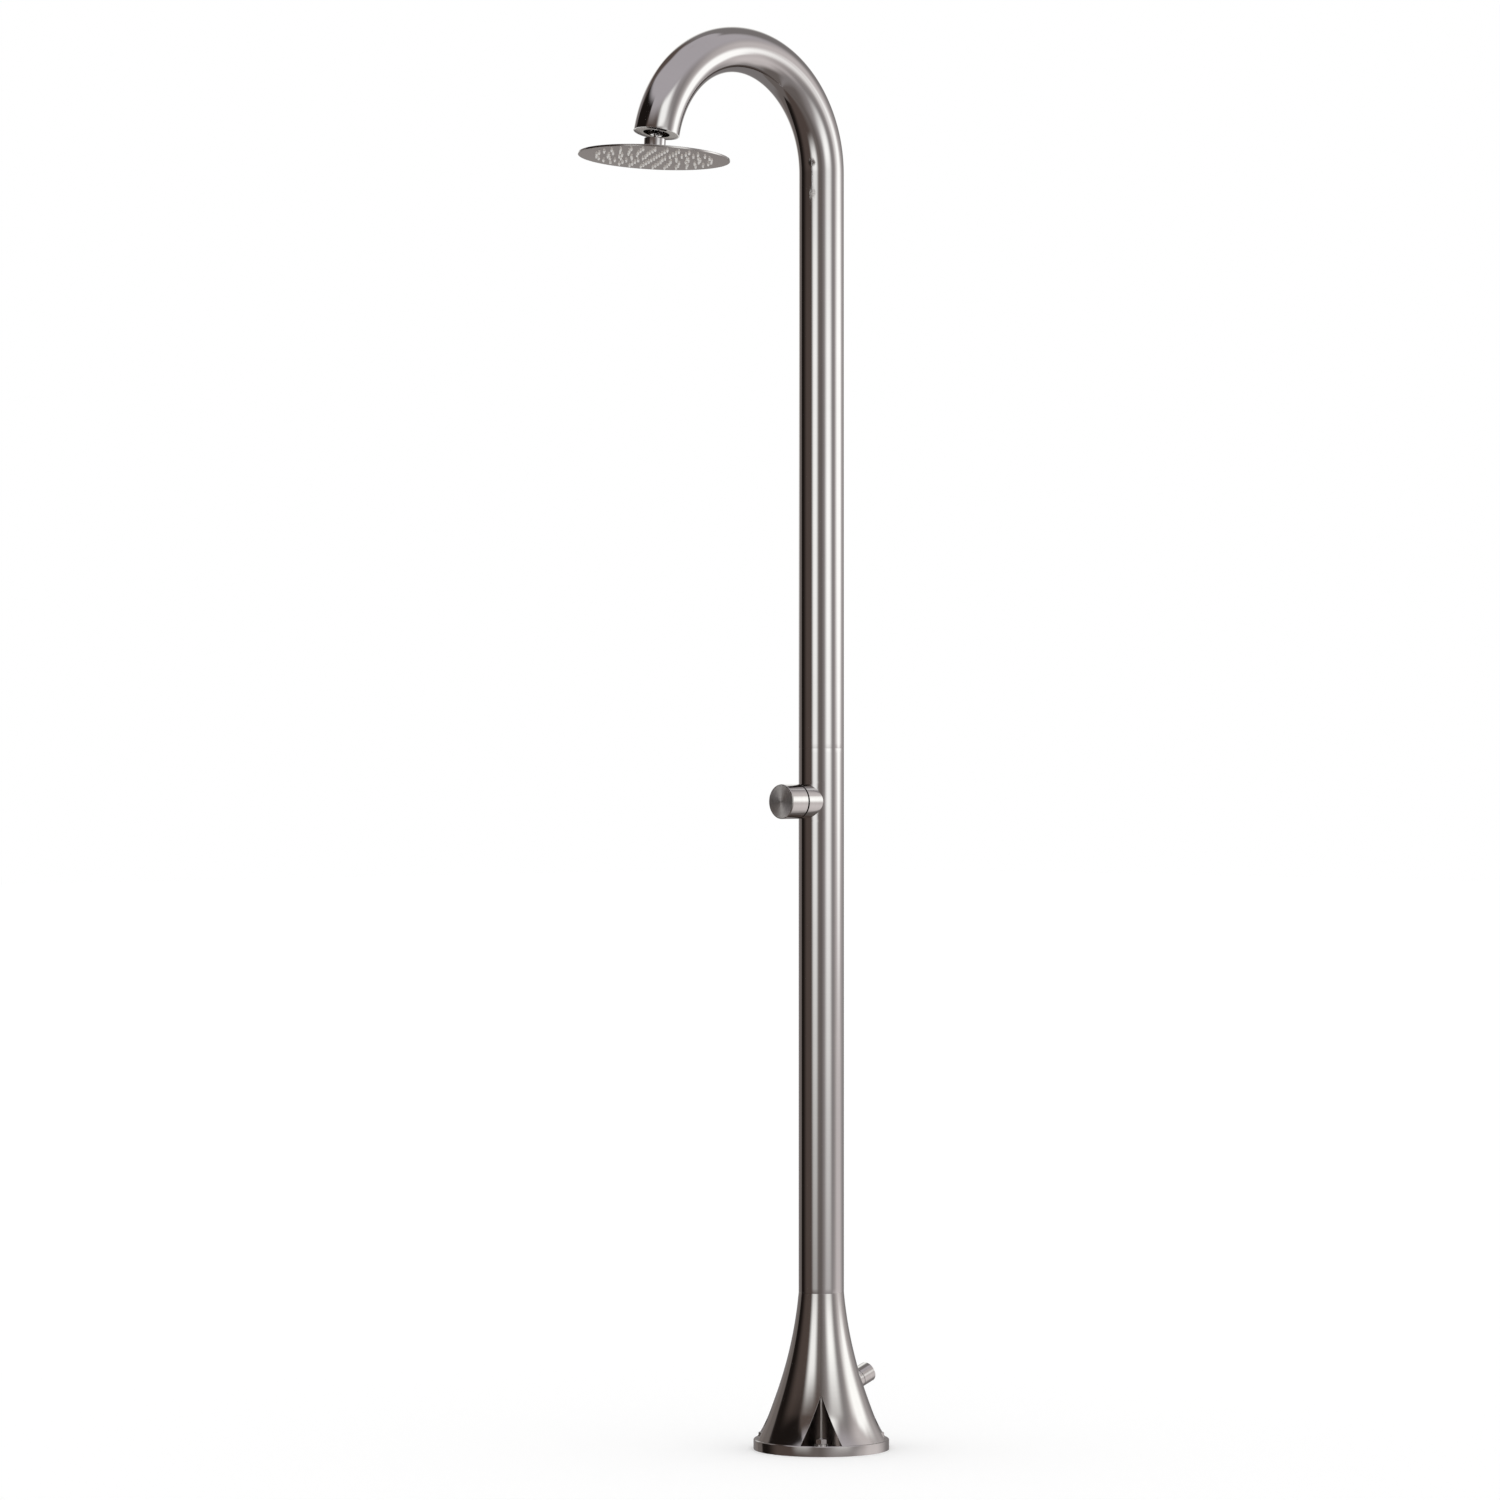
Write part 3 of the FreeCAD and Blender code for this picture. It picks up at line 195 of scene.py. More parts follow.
@dataclass(frozen=True)
class Wall:
    """Wall of revolution: centre(d) + r(d) (cos a X + sin a Y) at angle a and distance d."""

    path: Seat | Gooseneck
    radius: Callable[[Array], Array]

    def sheet(self, angle: Array, place: Array) -> Sheet:
        """Points of the wall at angles and distances.

        Args:
            angle: Angles round the axis, rows by columns.
            place: Distances along it, rows by columns.

        Returns:
            The sheet of that part of the wall.
        """
        flat = place.ravel()
        centre, across, out = self.path.frame(flat)
        radius = self.radius(flat)
        x, y = radius * np.cos(angle.ravel()), radius * np.sin(angle.ravel())
        points = (centre + x[:, None] * across + y[:, None] * out).reshape(*place.shape, 3)
        uv = np.stack([angle * float(radius.max()), place], -1)
        return Sheet(points, uv, np.stack([x, y, flat], -1).reshape(*place.shape, 3))

    def loop(self, drill: Drill, spin: Array) -> tuple[Array, Array]:
        """Angle and distance where a drill's side comes out of the wall.

        Each point of the drill's side moves along the drill by halving steps until its
        distance from the axis is the wall's radius there.

        Args:
            drill: The hole.
            spin: Angles round the drill.

        Returns:
            The angle and the distance on the wall, for each angle round the drill.
        """
        points, along = drill.side(spin)
        low, high = np.zeros(len(spin)), np.full(len(spin), DRILL_REACH)
        for _ in range(HALVINGS):
            middle = (low + high) / 2
            place = points + middle[:, None] * along
            inside = np.hypot(place[:, 0], place[:, 1]) < self.radius(place[:, 2])
            low, high = np.where(inside, middle, low), np.where(inside, high, middle)
        place = points + low[:, None] * along
        turn = math.atan2(along[1], along[0])
        back = np.cos(turn) * place[:, 0] + np.sin(turn) * place[:, 1]
        aside = np.cos(turn) * place[:, 1] - np.sin(turn) * place[:, 0]
        return turn + np.arctan2(aside, back), place[:, 2]


@dataclass(frozen=True)
class Disc:
    """Flat ring about the post's axis: (r cos a, r sin a, height) at angle a and radius r."""

    height: float

    def sheet(self, angle: Array, place: Array) -> Sheet:
        """Points of the ring at angles and radii.

        Args:
            angle: Angles round the axis, rows by columns.
            place: Radii, rows by columns.

        Returns:
            The sheet of that part of the ring.
        """
        x, y = place * np.cos(angle), place * np.sin(angle)
        uv = np.stack([angle * float(place.max()), place], -1)
        return Sheet(np.stack([x, y, np.full_like(x, self.height)], -1), uv, np.stack([x, y, place], -1))

    def loop(self, drill: Drill, spin: Array) -> tuple[Array, Array]:
        """Angle and radius of a vertical drill's side: its centre + h (cos t across + sin t outward).

        Args:
            drill: The hole.
            spin: Angles round the drill.

        Returns:
            The angle and the radius on the ring, for each angle round the drill.
        """
        turn = math.atan2(drill.origin[1], drill.origin[0])
        out = math.hypot(drill.origin[0], drill.origin[1]) + drill.radius * np.sin(spin)
        aside = drill.radius * np.cos(spin)
        return turn + np.arctan2(aside, out), np.hypot(aside, out)


def rounded(corners: Sequence[tuple[float, ...]], closed: bool = True, step: float = 15.0) -> Array:
    """Profile whose corners are arcs tangent to both sides.

    An arc of radius f at a corner starts f / tan(half the corner's angle) before it.

    Args:
        corners: (radius, distance) or (radius, distance, arc radius), in millimetres.
        closed: Whether the last corner joins the first.
        step: Degrees of turn between two points of an arc.

    Returns:
        Rows of (radius, distance) in metres.
    """
    places = np.array([corner[:2] for corner in corners], float)
    rows: list[Array] = []
    for number, corner in enumerate(corners):
        here, before, after = places[number], places[number - 1], places[(number + 1) % len(corners)]
        radius = corner[2] if len(corner) > 2 else 0.0
        if radius == 0.0:
            rows.append(here[None])
            continue
        into, out = (side / np.linalg.norm(side) for side in (before - here, after - here))
        half = math.acos(np.clip(into @ out, -1, 1)) / 2
        centre = here + (into + out) / np.linalg.norm(into + out) * radius / math.sin(half)
        a = here + into * radius / math.tan(half) - centre
        b = here + out * radius / math.tan(half) - centre
        sweep = math.pi - 2 * half
        share = np.linspace(0, 1, max(3, int(math.degrees(sweep) / step) + 2))[:, None]
        arc = np.sin((1 - share) * sweep) * a + np.sin(share * sweep) * b
        rows.append(centre + arc / math.sin(sweep))
    if closed:
        rows.append(rows[0][:1])
    return np.concatenate(rows) * MM


def arc_rows(radius: float, angle: Array) -> Array:
    """Profile rows on a sphere: (r cos a, r sin a) at each angle a from its equator, r in millimetres."""
    return np.stack([radius * np.cos(angle), radius * np.sin(angle)], 1) * MM


def denser(profile: Array, longest: float) -> Array:
    """Adds evenly spaced rows on the profile's sides that are longer than stated.

    Args:
        profile: Rows of (radius, distance).
        longest: Longest step that stays, in the rows' unit.

    Returns:
        The profile with the new rows in their places.
    """
    pieces = []
    for a, b in zip(profile[:-1], profile[1:]):
        count = max(1, math.ceil(np.linalg.norm(b - a) / longest))
        pieces.append(a + (b - a) * np.arange(count)[:, None] / count)
    return np.concatenate([*pieces, profile[-1:]])


def stations(start: float, *stretches: tuple[float, float]) -> Array:
    """Distances from start through each stretch's end, in steps of at most its length.

    Args:
        start: First distance, in millimetres.
        stretches: (end, longest step) of each stretch, in millimetres.

    Returns:
        The distances in metres.
    """
    places = [np.array([start])]
    for end, step in stretches:
        count = max(1, math.ceil((end - places[-1][-1]) / step))
        places.append(np.linspace(places[-1][-1], end, count + 1)[1:])
    return np.concatenate(places) * MM


def turned(profile: Array, path: Seat | Gooseneck, columns: int, swell: Array | None = None) -> Sheet:
    """Carries a profile round an axis: centre + r (cos a X + sin a Y).

    Args:
        profile: Rows of (radius, distance along the path).
        path: What gives the centre and the cross directions at a distance.
        columns: Steps round the axis.
        swell: Radius for each row and column, where it isn't the same all round.

    Returns:
        The sheet, with its first column repeated at the end.
    """
    angle = np.linspace(0, TURN, columns + 1)
    centre, across, out = path.frame(profile[:, 1])
    radius = profile[:, :1] if swell is None else swell
    x, y = radius * np.cos(angle), radius * np.sin(angle)
    points = centre[:, None] + x[..., None] * across[:, None] + y[..., None] * out[:, None]
    steps = np.linalg.norm(np.diff(profile, axis=0), axis=1)
    along = np.broadcast_to(np.concatenate([[0.0], np.cumsum(steps)])[:, None], x.shape)
    around = np.broadcast_to(angle * max(float(profile[:, 0].max()), MM), x.shape)
    return Sheet(points, np.stack([around, along], -1), np.stack([x, y, along], -1))


def flat_sheet(points: Array, keep: Array | None = None) -> Sheet:
    """Sheet whose texture places are its own X, Y and Z, for cut faces and small parts."""
    return Sheet(points, points[..., :2].copy(), points.copy(), keep)


def ruled(first: Array, last: Array, keep: Array | None = None) -> Sheet:
    """Straight strip between two rows of points."""
    return flat_sheet(np.stack([first, last]), keep)


def slab(front: Array, back: Array) -> list[Sheet]:
    """Solid plate between two matching grids, closed by four ruled sides.

    Args:
        front: One face's grid of points.
        back: The other face's grid, point for point.

    Returns:
        The two faces and the four sides.
    """
    sides = [ruled(front[0], back[0]), ruled(front[-1], back[-1]),
             ruled(front[:, 0], back[:, 0]), ruled(front[:, -1], back[:, -1])]
    return [flat_sheet(front), flat_sheet(back), *sides]


Grid = tuple[Wall | Disc, Array, Array]


def drilled(outer: Grid, inner: Grid | None, drills: Sequence[Drill], margin: float = 1.6,
            keep: Array | None = None) -> list[Sheet]:
    """One or two walls with the same grid, drilled.

    Round each hole a window of the grid is left out. A patch fills it whose rows go
    from the window's edge to the hole by (1 - f) edge + f hole. With a second wall the
    holes go through to it, and without one each ends at its drill's flat floor.

    Args:
        outer: Outer surface, its angles and its places, both rows by columns.
        inner: Inner surface, its angles and its places.
        drills: The holes.
        margin: Size of a window against its hole.
        keep: Faces of the grid that are there; all of them where it is None.

    Returns:
        The patches and the holes' sides, then the walls.
    """
    rows, columns = outer[1].shape
    keep = np.ones((rows - 1, columns - 1), bool) if keep is None else keep.copy()
    walls = [outer] if inner is None else [outer, inner]
    sheets = []
    for drill in drills:
        angle, place = outer[0].loop(drill, np.linspace(0, TURN, HOLE_STEPS))
        middle = np.array([angle.max() + angle.min(), place.max() + place.min()]) / 2
        half = np.array([np.ptp(angle), np.ptp(place)]) / 2
        tall = np.flatnonzero(np.abs(outer[2][:, columns // 2] - middle[1]) <= margin * half[1])
        low, high = tall[0], tall[-1]
        wide = np.flatnonzero(np.abs(outer[1][(low + high) // 2] - middle[0]) <= margin * half[0])
        left, right = wide[0], wide[-1]
        keep[low:high, left:right] = False
        i = np.concatenate([np.full(right - left, low), np.arange(low, high),
                            np.full(right - left, high), np.arange(high, low, -1), [low]])
        j = np.concatenate([np.arange(left, right), np.full(high - low, right),
                            np.arange(right, left, -1), np.full(high - low, left), [left]])
        spin = np.arctan2((outer[2][i, j] - middle[1]) / half[1],
                          (outer[1][i, j] - middle[0]) / half[0])
        share = np.linspace(0, 1, PATCH_ROWS)[:, None]
        lips = []
        for surface, angles, places in walls:
            hole_angle, hole_place = surface.loop(drill, spin)
            patch = surface.sheet(angles[i, j] + (hole_angle - angles[i, j]) * share,
                                  places[i, j] + (hole_place - places[i, j]) * share)
            sheets.append(patch)
            lips.append(patch.points[-1])
        if inner is None:
            ring, along = drill.side(spin)
            floor = outer[0].path.carry(ring + along * drill.floor)
            lips.append(floor)
            sheets.append(ruled(floor, floor * 0 + floor[:-1].mean(0)))
        sheets.append(ruled(*lips))
    for surface, angles, places in walls:
        wall = surface.sheet(angles, places)
        wall.keep = keep
        sheets.append(wall)
    return sheets


def drilled_tube(path: Seat | Gooseneck, radii: Sequence[float], rows: Array, columns: int,
                 drills: Sequence[Drill], margin: float = 1.6) -> list[Sheet]:
    """Drilled round walls of a tube, or of a solid bar where only one radius is given.

    Args:
        path: Its centre line.
        radii: Outer radius, and inner radius where it is a tube, in millimetres.
        rows: Distances along the path, in metres.
        columns: Steps round the axis.
        drills: The holes.
        margin: Size of a window against its hole.

    Returns:
        The patches and the holes' sides, then the walls.
    """
    angle, place = np.meshgrid(np.linspace(-math.pi, math.pi, columns + 1), rows)
    outer, inner = ([(Wall(path, constant(r * MM)), angle, place) for r in radii] + [None])[:2]
    return drilled(outer, inner, drills, margin)


def tube_end(inner: float, outer: float, end: float, inwards: float, arc: float | None = None) -> Array:
    """Profile across a tube's end, from its bore to its side, with the outer edge eased.

    Args:
        inner: Radius of the bore, in millimetres.
        outer: Radius of the side.
        end: Distance of the end along the axis.
        inwards: Signed distance from the end to where the walls start.
        arc: Radius of the outer edge; that distance where it is None.

    Returns:
        Rows of (radius, distance) in metres.
    """
    return rounded([(inner, end + inwards), (inner, end), (outer, end, abs(inwards) if arc is None else arc),
                    (outer, end + inwards)], closed=False)


def hexagon(flats: float, angle: Array, corner_at_zero: bool = False) -> Array:
    """Radius of a hexagon, flats / 2 / cos of the angle from the nearest flat's middle."""
    shifted = angle + (0.0 if corner_at_zero else math.pi / 6)
    return flats / 2 * MM / np.cos(shifted % (math.pi / 3) - math.pi / 6)


def knob_sheets(seat: Seat, radius: float, span: tuple[float, float], edge: float, inside: Array,
                drill: Drill, columns: int) -> list[Sheet]:
    """Turned knob with an eased front edge and a blind hole in its side.

    Args:
        seat: Where it sits.
        radius: Its radius, in millimetres.
        span: Start of its side and its front, along the axis.
        edge: How far the front edge is eased.
        inside: Profile from the start of the side, round the back, to the axis.
        drill: The hole in its side.
        columns: Steps round the axis.

    Returns:
        The closed sheets.
    """
    hole, window, plain_step, fine_step, face_step = drill.origin[2] / MM, 5.0, 1.2, 0.8, 2.0
    rows = stations(span[0], (hole - window, plain_step), (hole + window, fine_step),
                    (span[1] - edge, plain_step))
    front = rounded([(radius, span[1] - edge), (radius, span[1], edge * 0.9), (0, span[1])],
                    closed=False, step=9)
    return [*drilled_tube(seat, [radius], rows, columns, [drill]),
            turned(denser(front, face_step * MM), seat, columns), turned(inside, seat, columns)]


def hex_prism(flats: float, low: float, high: float, hole: float, seat: Seat,
              corner_at_zero: bool = False, steps: int = 72) -> Sheet:
    """Hexagon nut whose corners are cut by a 30 degree cone at both ends.

    Each row's radius is the hexagon's, but at most that of the cone there.

    Args:
        flats: Width across flats, in millimetres.
        low: Lower end along the seat's axis.
        high: Upper end.
        hole: Radius of the bore.
        seat: Where it sits.
        corner_at_zero: Whether a corner, and not a flat, lies on the seat's X axis.
        steps: Steps round the axis, a multiple of 12.

    Returns:
        The closed sheet.
    """
    slope, chamfer, face = math.tan(math.radians(30)), 0.6, flats / 2 * 0.97
    rise = np.array([0.25, 0.5, 0.75, 1.0]) * (flats / math.sqrt(3) - face) * slope
    rows = [(hole, low + chamfer), (hole + chamfer, low), (face, low)]
    rows += [(face + step / slope, low + step) for step in rise]
    rows += [(face + step / slope, high - step) for step in rise[::-1]]
    rows += [(face, high), (hole + chamfer, high), (hole, high - chamfer), (hole, low + chamfer)]
    profile = np.array(rows) * MM
    outline = hexagon(flats, np.linspace(0, TURN, steps + 1), corner_at_zero)
    return turned(profile, seat, steps, np.minimum(profile[:, :1], outline))


def socket_screw(diameter: float, start: float, end: float, socket_flats: float, seat: Seat) -> Sheet:
    """Grub screw along the seat's axis with a hexagon socket in its end.

    Args:
        diameter: Diameter, in millimetres.
        start: Distance of the blind end along the axis.
        end: Distance of the end with the socket.
        socket_flats: Width across the socket's flats.
        seat: Where it sits.

    Returns:
        The closed sheet.
    """
    radius, depth, edge, rim_edge, point, steps = diameter / 2, socket_flats * 0.9, 0.35, 0.15, 0.4, 48
    rim = socket_flats / math.sqrt(3) + rim_edge
    rows = np.array([(0, start), (radius - edge, start), (radius, start + edge), (radius, end - edge),
                     (radius - edge, end), (rim, end), (socket_flats / 2, end - rim_edge),
                     (socket_flats / 2, end - depth), (0, end - depth - point)]) * MM
    outline = hexagon(socket_flats, np.linspace(0, TURN, steps + 1))
    swell = rows[:, :1] + np.zeros((1, steps + 1))
    swell[6:8] = outline
    return turned(rows, seat, steps, swell)


def constant(value: float) -> Callable[[Array], Array]:
    """Radius that is the same at every distance."""
    return lambda place: np.full_like(place, value)


def moved(sheet: Sheet, centre: Array, angle: float) -> Sheet:
    """The sheet turned about +Z and put at a centre.

    Args:
        sheet: The sheet about the origin.
        centre: Where the origin goes.
        angle: Its turn, in radians.

    Returns:
        A new sheet with the same texture places.
    """
    c, s = math.cos(angle), math.sin(angle)
    turn = np.array([[c, -s, 0], [s, c, 0], [0, 0, 1.0]])
    return Sheet(sheet.points @ turn.T + centre, sheet.uv, sheet.grain)


def tangent_arc(start: Array, heading: Array, end: Array) -> tuple[Array, float]:
    """Centre and radius of the arc that leaves start along heading and meets end.

    The radius is chord^2 / (2 chord . normal), along the normal at the start.

    Args:
        start: Where the arc starts, (radius, height).
        heading: Its direction there, of length 1.
        end: The point that it meets.

    Returns:
        The arc's centre and its radius.
    """
    normal = np.array([-heading[1], heading[0]])
    chord = end - start
    reach = chord @ chord / (2 * chord @ normal)
    return start + normal * reach, abs(reach)


def soften(piece: bpy.types.Object, width: float) -> None:
    """Eases a piece's sharp edges with a small round bevel, in millimetres.

    Args:
        piece: The piece.
        width: Width of the bevel.
    """
    bevel = piece.modifiers.new("eased_edges", "BEVEL")
    bevel.width = width * MM
    bevel.segments = 2
    bevel.limit_method = "ANGLE"
    bevel.angle_limit = math.radians(35)
    bevel.harden_normals = True


def make_mesh(name: str, sheets: Iterable[Sheet], crease: float = 30.0) -> bpy.types.Object:
    """Joins sheets into one mesh with closed seams, outward faces and smooth shading.

    Args:
        name: Name of the piece.
        sheets: Grids of points; neighbours that share an edge are joined there.
        crease: Degrees above which an edge stays sharp.

    Returns:
        The new object, linked to the scene.
    """
    sheets = list(sheets)
    quads, start = [], 0
    for sheet in sheets:
        rows, columns = sheet.points.shape[:2]
        index = start + np.arange(rows * columns).reshape(rows, columns)
        grid = np.stack([index[:-1, :-1], index[:-1, 1:], index[1:, 1:], index[1:, :-1]], -1)
        quads.append(grid.reshape(-1, 4) if sheet.keep is None else grid[sheet.keep])
        start += rows * columns
    used, corner = np.unique(np.concatenate(quads), return_inverse=True)
    corner = corner.ravel()
    mesh = bpy.data.meshes.new(name)
    mesh.from_pydata(np.concatenate([s.points.reshape(-1, 3) for s in sheets])[used], [],
                     corner.reshape(-1, 4).tolist())
    uv = np.concatenate([s.uv.reshape(-1, 2) for s in sheets])[used][corner]
    grain = np.concatenate([s.grain.reshape(-1, 3) for s in sheets])[used][corner]
    mesh.uv_layers.new(name="Surface").data.foreach_set("uv", uv.astype(np.float32).ravel())
    layer = mesh.attributes.new("grain", "FLOAT_VECTOR", "CORNER")
    layer.data.foreach_set("vector", grain.astype(np.float32).ravel())
    shape = bmesh.new()
    shape.from_mesh(mesh)
    bmesh.ops.remove_doubles(shape, verts=shape.verts, dist=SEAM)
    bmesh.ops.recalc_face_normals(shape, faces=shape.faces)
    shape.to_mesh(mesh)
    shape.free()
    mesh.shade_smooth()
    mesh.set_sharp_from_angle(angle=math.radians(crease))
    piece = bpy.data.objects.new(name, mesh)
    bpy.context.scene.collection.objects.link(piece)
    return piece


# ------------------------------------------------------------------ finishes
def node(nodes: bpy.types.Nodes, kind: str, **values: float | Sequence[float]) -> bpy.types.Node:
    """New shader node with values for its inputs, whose names have _ for each space.

    Args:
        nodes: The nodes that it joins.
        kind: Its type, without ShaderNode.
        values: Value of each named input.

    Returns:
        The new node.
    """
    made = nodes.new(f"ShaderNode{kind}")
    for name, value in values.items():
        made.inputs[name.replace("_", " ")].default_value = value
    return made


def socket(group: bpy.types.NodeTree, name: str, kind: str, way: str, value: float | None = None) -> None:
    """Adds a named input or output to a node group.

    Args:
        group: The node group.
        name: The socket's name.
        kind: Float or Vector.
        way: INPUT or OUTPUT.
        value: Its value where nothing is linked.
    """
    made = group.interface.new_socket(name=name, in_out=way, socket_type=f"NodeSocket{kind}")
    if value is not None:
        made.default_value = value


def brushing_group() -> bpy.types.NodeTree:
    """Node group of fine parallel scratches with broader streaks and faint smudges.

    Place is scaled a little along the brushing and much across it, so that noise
    turns into lines. Its outputs are Lines and Smudge, both about 0.5, and Height.

    Returns:
        The node group, built once.
    """
    name = "brushing"
    if name in bpy.data.node_groups:
        return bpy.data.node_groups[name]
    group = bpy.data.node_groups.new(name, "ShaderNodeTree")
    socket(group, "Place", "Vector", "INPUT")
    socket(group, "Line Width", "Float", "INPUT", 0.0004)
    socket(group, "Line Length", "Float", "INPUT", 0.04)
    for output in ("Lines", "Smudge", "Height"):
        socket(group, output, "Float", "OUTPUT")
    nodes, link = group.nodes, group.links.new
    inside, outside = nodes.new("NodeGroupInput"), nodes.new("NodeGroupOutput")
    across, along = (node(nodes, "Math", Value=1.0) for _ in range(2))
    for inverse, source in ((across, "Line Width"), (along, "Line Length")):
        inverse.operation = "DIVIDE"
        link(inside.outputs[source], inverse.inputs[1])
    stretch, place = node(nodes, "CombineXYZ"), node(nodes, "VectorMath")
    for number, inverse in enumerate((along, along, across)):
        link(inverse.outputs[0], stretch.inputs[number])
    place.operation = "MULTIPLY"
    link(inside.outputs["Place"], place.inputs[0])
    link(stretch.outputs[0], place.inputs[1])
    fine = node(nodes, "TexNoise", Scale=1.0, Detail=3.0)
    broad = node(nodes, "TexNoise", Scale=0.12, Detail=2.0)
    smudge = node(nodes, "TexNoise", Scale=14.0, Detail=3.0)
    scaled = place.outputs[0]
    for noise, source in ((fine, scaled), (broad, scaled), (smudge, inside.outputs["Place"])):
        link(source, noise.inputs["Vector"])
    blend = node(nodes, "Mix", Factor=0.4)
    link(fine.outputs["Fac"], blend.inputs["A"])
    link(broad.outputs["Fac"], blend.inputs["B"])
    link(blend.outputs["Result"], outside.inputs["Lines"])
    link(smudge.outputs["Fac"], outside.inputs["Smudge"])
    link(fine.outputs["Fac"], outside.inputs["Height"])
    return group


class Grain(Enum):
    """Where a finish reads its place: the piece's own grain, or Object coordinates."""

    ATTRIBUTE = "grain"
    OBJECT = "object"


@dataclass
class Bench:
    """What a finish is put together on: the material's nodes, links, shader and place.

    Attributes:
        nodes: The material's nodes.
        link: Links an output to an input.
        shader: The material's Principled BSDF.
        place: Output that says where on the piece a point lies.
        grain: What that output reads.
    """

    nodes: bpy.types.Nodes
    link: Callable[[bpy.types.NodeSocket, bpy.types.NodeSocket], object]
    shader: bpy.types.Node
    place: bpy.types.NodeSocket
    grain: Grain

    def feed(self, name: str, output: bpy.types.NodeSocket) -> None:
        """Links an output to the shader's input of that name."""
        self.link(output, self.shader.inputs[name])

    def bump(self, height: bpy.types.NodeSocket, distance: float) -> None:
        """Feeds a height of 0 to 1, worth that distance in metres, to the shader's normal.

        Args:
            height: Output that gives the height.
            distance: Height of 1, in metres.
        """
        bump = node(self.nodes, "Bump", Distance=distance)
        self.link(height, bump.inputs["Height"])
        self.feed("Normal", bump.outputs["Normal"])

    def tone(self, source: bpy.types.NodeSocket, color: Color, shares: tuple[float, float],
             ends: tuple[float, float] = (0.0, 1.0)) -> None:
        """Feeds a ramp between two shares of a colour to the shader's base colour.

        Args:
            source: What runs along the ramp.
            color: The colour, linear.
            shares: Its share at the ramp's lower and upper end.
            ends: Values of the source at those ends.
        """
        ramp = node(self.nodes, "ValToRGB")
        for element, end, share in zip(ramp.color_ramp.elements, ends, shares):
            element.position = end
            element.color = (*(min(1.0, part * share) for part in color), 1.0)
        self.link(source, ramp.inputs["Fac"])
        self.feed("Base Color", ramp.outputs["Color"])


@dataclass(frozen=True)
class Finish:
    """A finish of this post, built as a material when a piece first asks for it.

    Attributes:
        name: Name of the material.
        color: Reflectance, linear.
        roughness: Mean roughness.
    """

    name: str
    color: Color
    roughness: float

    def material(self, grain: Grain = Grain.ATTRIBUTE) -> bpy.types.Material:
        """Builds the material, or finds it if it is built.

        Args:
            grain: Where the finish reads its place.

        Returns:
            The material.
        """
        name = f"{self.name}_by_{grain.value}"
        if name in bpy.data.materials:
            return bpy.data.materials[name]
        made = bpy.data.materials.new(name)
        made.use_nodes = True
        nodes = made.node_tree.nodes
        if grain is Grain.ATTRIBUTE:
            source = node(nodes, "Attribute")
            source.attribute_name = grain.value
            place = source.outputs["Vector"]
        else:
            place = node(nodes, "TexCoord").outputs["Object"]
        self.apply(Bench(nodes, made.node_tree.links.new, nodes["Principled BSDF"], place, grain))
        return made

    def apply(self, bench: Bench) -> None:
        """Puts the finish together on a bench. Each kind of finish has its own way."""
        raise NotImplementedError(type(self).__name__)


@dataclass(frozen=True)
class Metal(Finish):
    """Brushed, turned or polished metal.

    Attributes:
        streak: How far the lines change the roughness.
        shade: How far the lines and smudges change the colour.
        relief: Depth of the scratches, in metres.
        anisotropy: Share of the gloss that spreads across the lines.
        line_width: Width of a scratch, in metres.
        line_length: Length of a scratch, in metres.
        turn: Turn of the gloss from along the lines, where 0.25 is across them.
        metallic: Share of the surface that is bare metal.
    """

    streak: float = 0.1
    shade: float = 0.06
    relief: float = 2e-6
    anisotropy: float = 0.0
    line_width: float = 0.0004
    line_length: float = 0.04
    turn: float = 0.25
    metallic: float = 1.0

    def apply(self, bench: Bench) -> None:
        """Lines give the roughness and the relief, and with smudges the colour.

        Args:
            bench: The material that is being built.
        """
        nodes, link, shader = bench.nodes, bench.link, bench.shader
        shader.inputs["Metallic"].default_value = self.metallic
        lines = node(nodes, "Group")
        lines.node_tree = brushing_group()
        lines.inputs["Line Width"].default_value = self.line_width
        lines.inputs["Line Length"].default_value = self.line_length
        link(bench.place, lines.inputs["Place"])
        if self.anisotropy and bench.grain is Grain.ATTRIBUTE:
            tangent = node(nodes, "Tangent")
            tangent.direction_type = "UV_MAP"
            tangent.uv_map = "Surface"
            bench.feed("Tangent", tangent.outputs["Tangent"])
            shader.inputs["Anisotropic"].default_value = self.anisotropy
            shader.inputs["Anisotropic Rotation"].default_value = self.turn
        half = self.streak / 2
        rough = node(nodes, "MapRange", From_Min=0.25, From_Max=0.75,
                     To_Min=self.roughness - half, To_Max=self.roughness + half)
        link(lines.outputs["Lines"], rough.inputs["Value"])
        bench.feed("Roughness", rough.outputs["Result"])
        blend = node(nodes, "Mix", Factor=0.5)
        link(lines.outputs["Lines"], blend.inputs["A"])
        link(lines.outputs["Smudge"], blend.inputs["B"])
        bench.tone(blend.outputs["Result"], self.color, (1 - self.shade, 1 + self.shade), (0.3, 0.7))
        bench.bump(lines.outputs["Height"], self.relief)


@dataclass(frozen=True)
class Plain(Finish):
    """Rubber or plastic, with a faint grain.

    Attributes:
        grain_size: Size of the grain, in metres.
        relief: Depth of the grain, in metres.
    """

    grain_size: float = 0.002
    relief: float = 1e-5

    def apply(self, bench: Bench) -> None:
        """Noise gives a faint change of colour and a faint relief.

        Args:
            bench: The material that is being built.
        """
        bench.shader.inputs["Roughness"].default_value = self.roughness
        noise = node(bench.nodes, "TexNoise", Scale=1 / self.grain_size, Detail=3.0)
        bench.link(bench.place, noise.inputs["Vector"])
        bench.tone(noise.outputs["Fac"], self.color, (0.9, 1.1))
        bench.bump(noise.outputs["Fac"], self.relief)


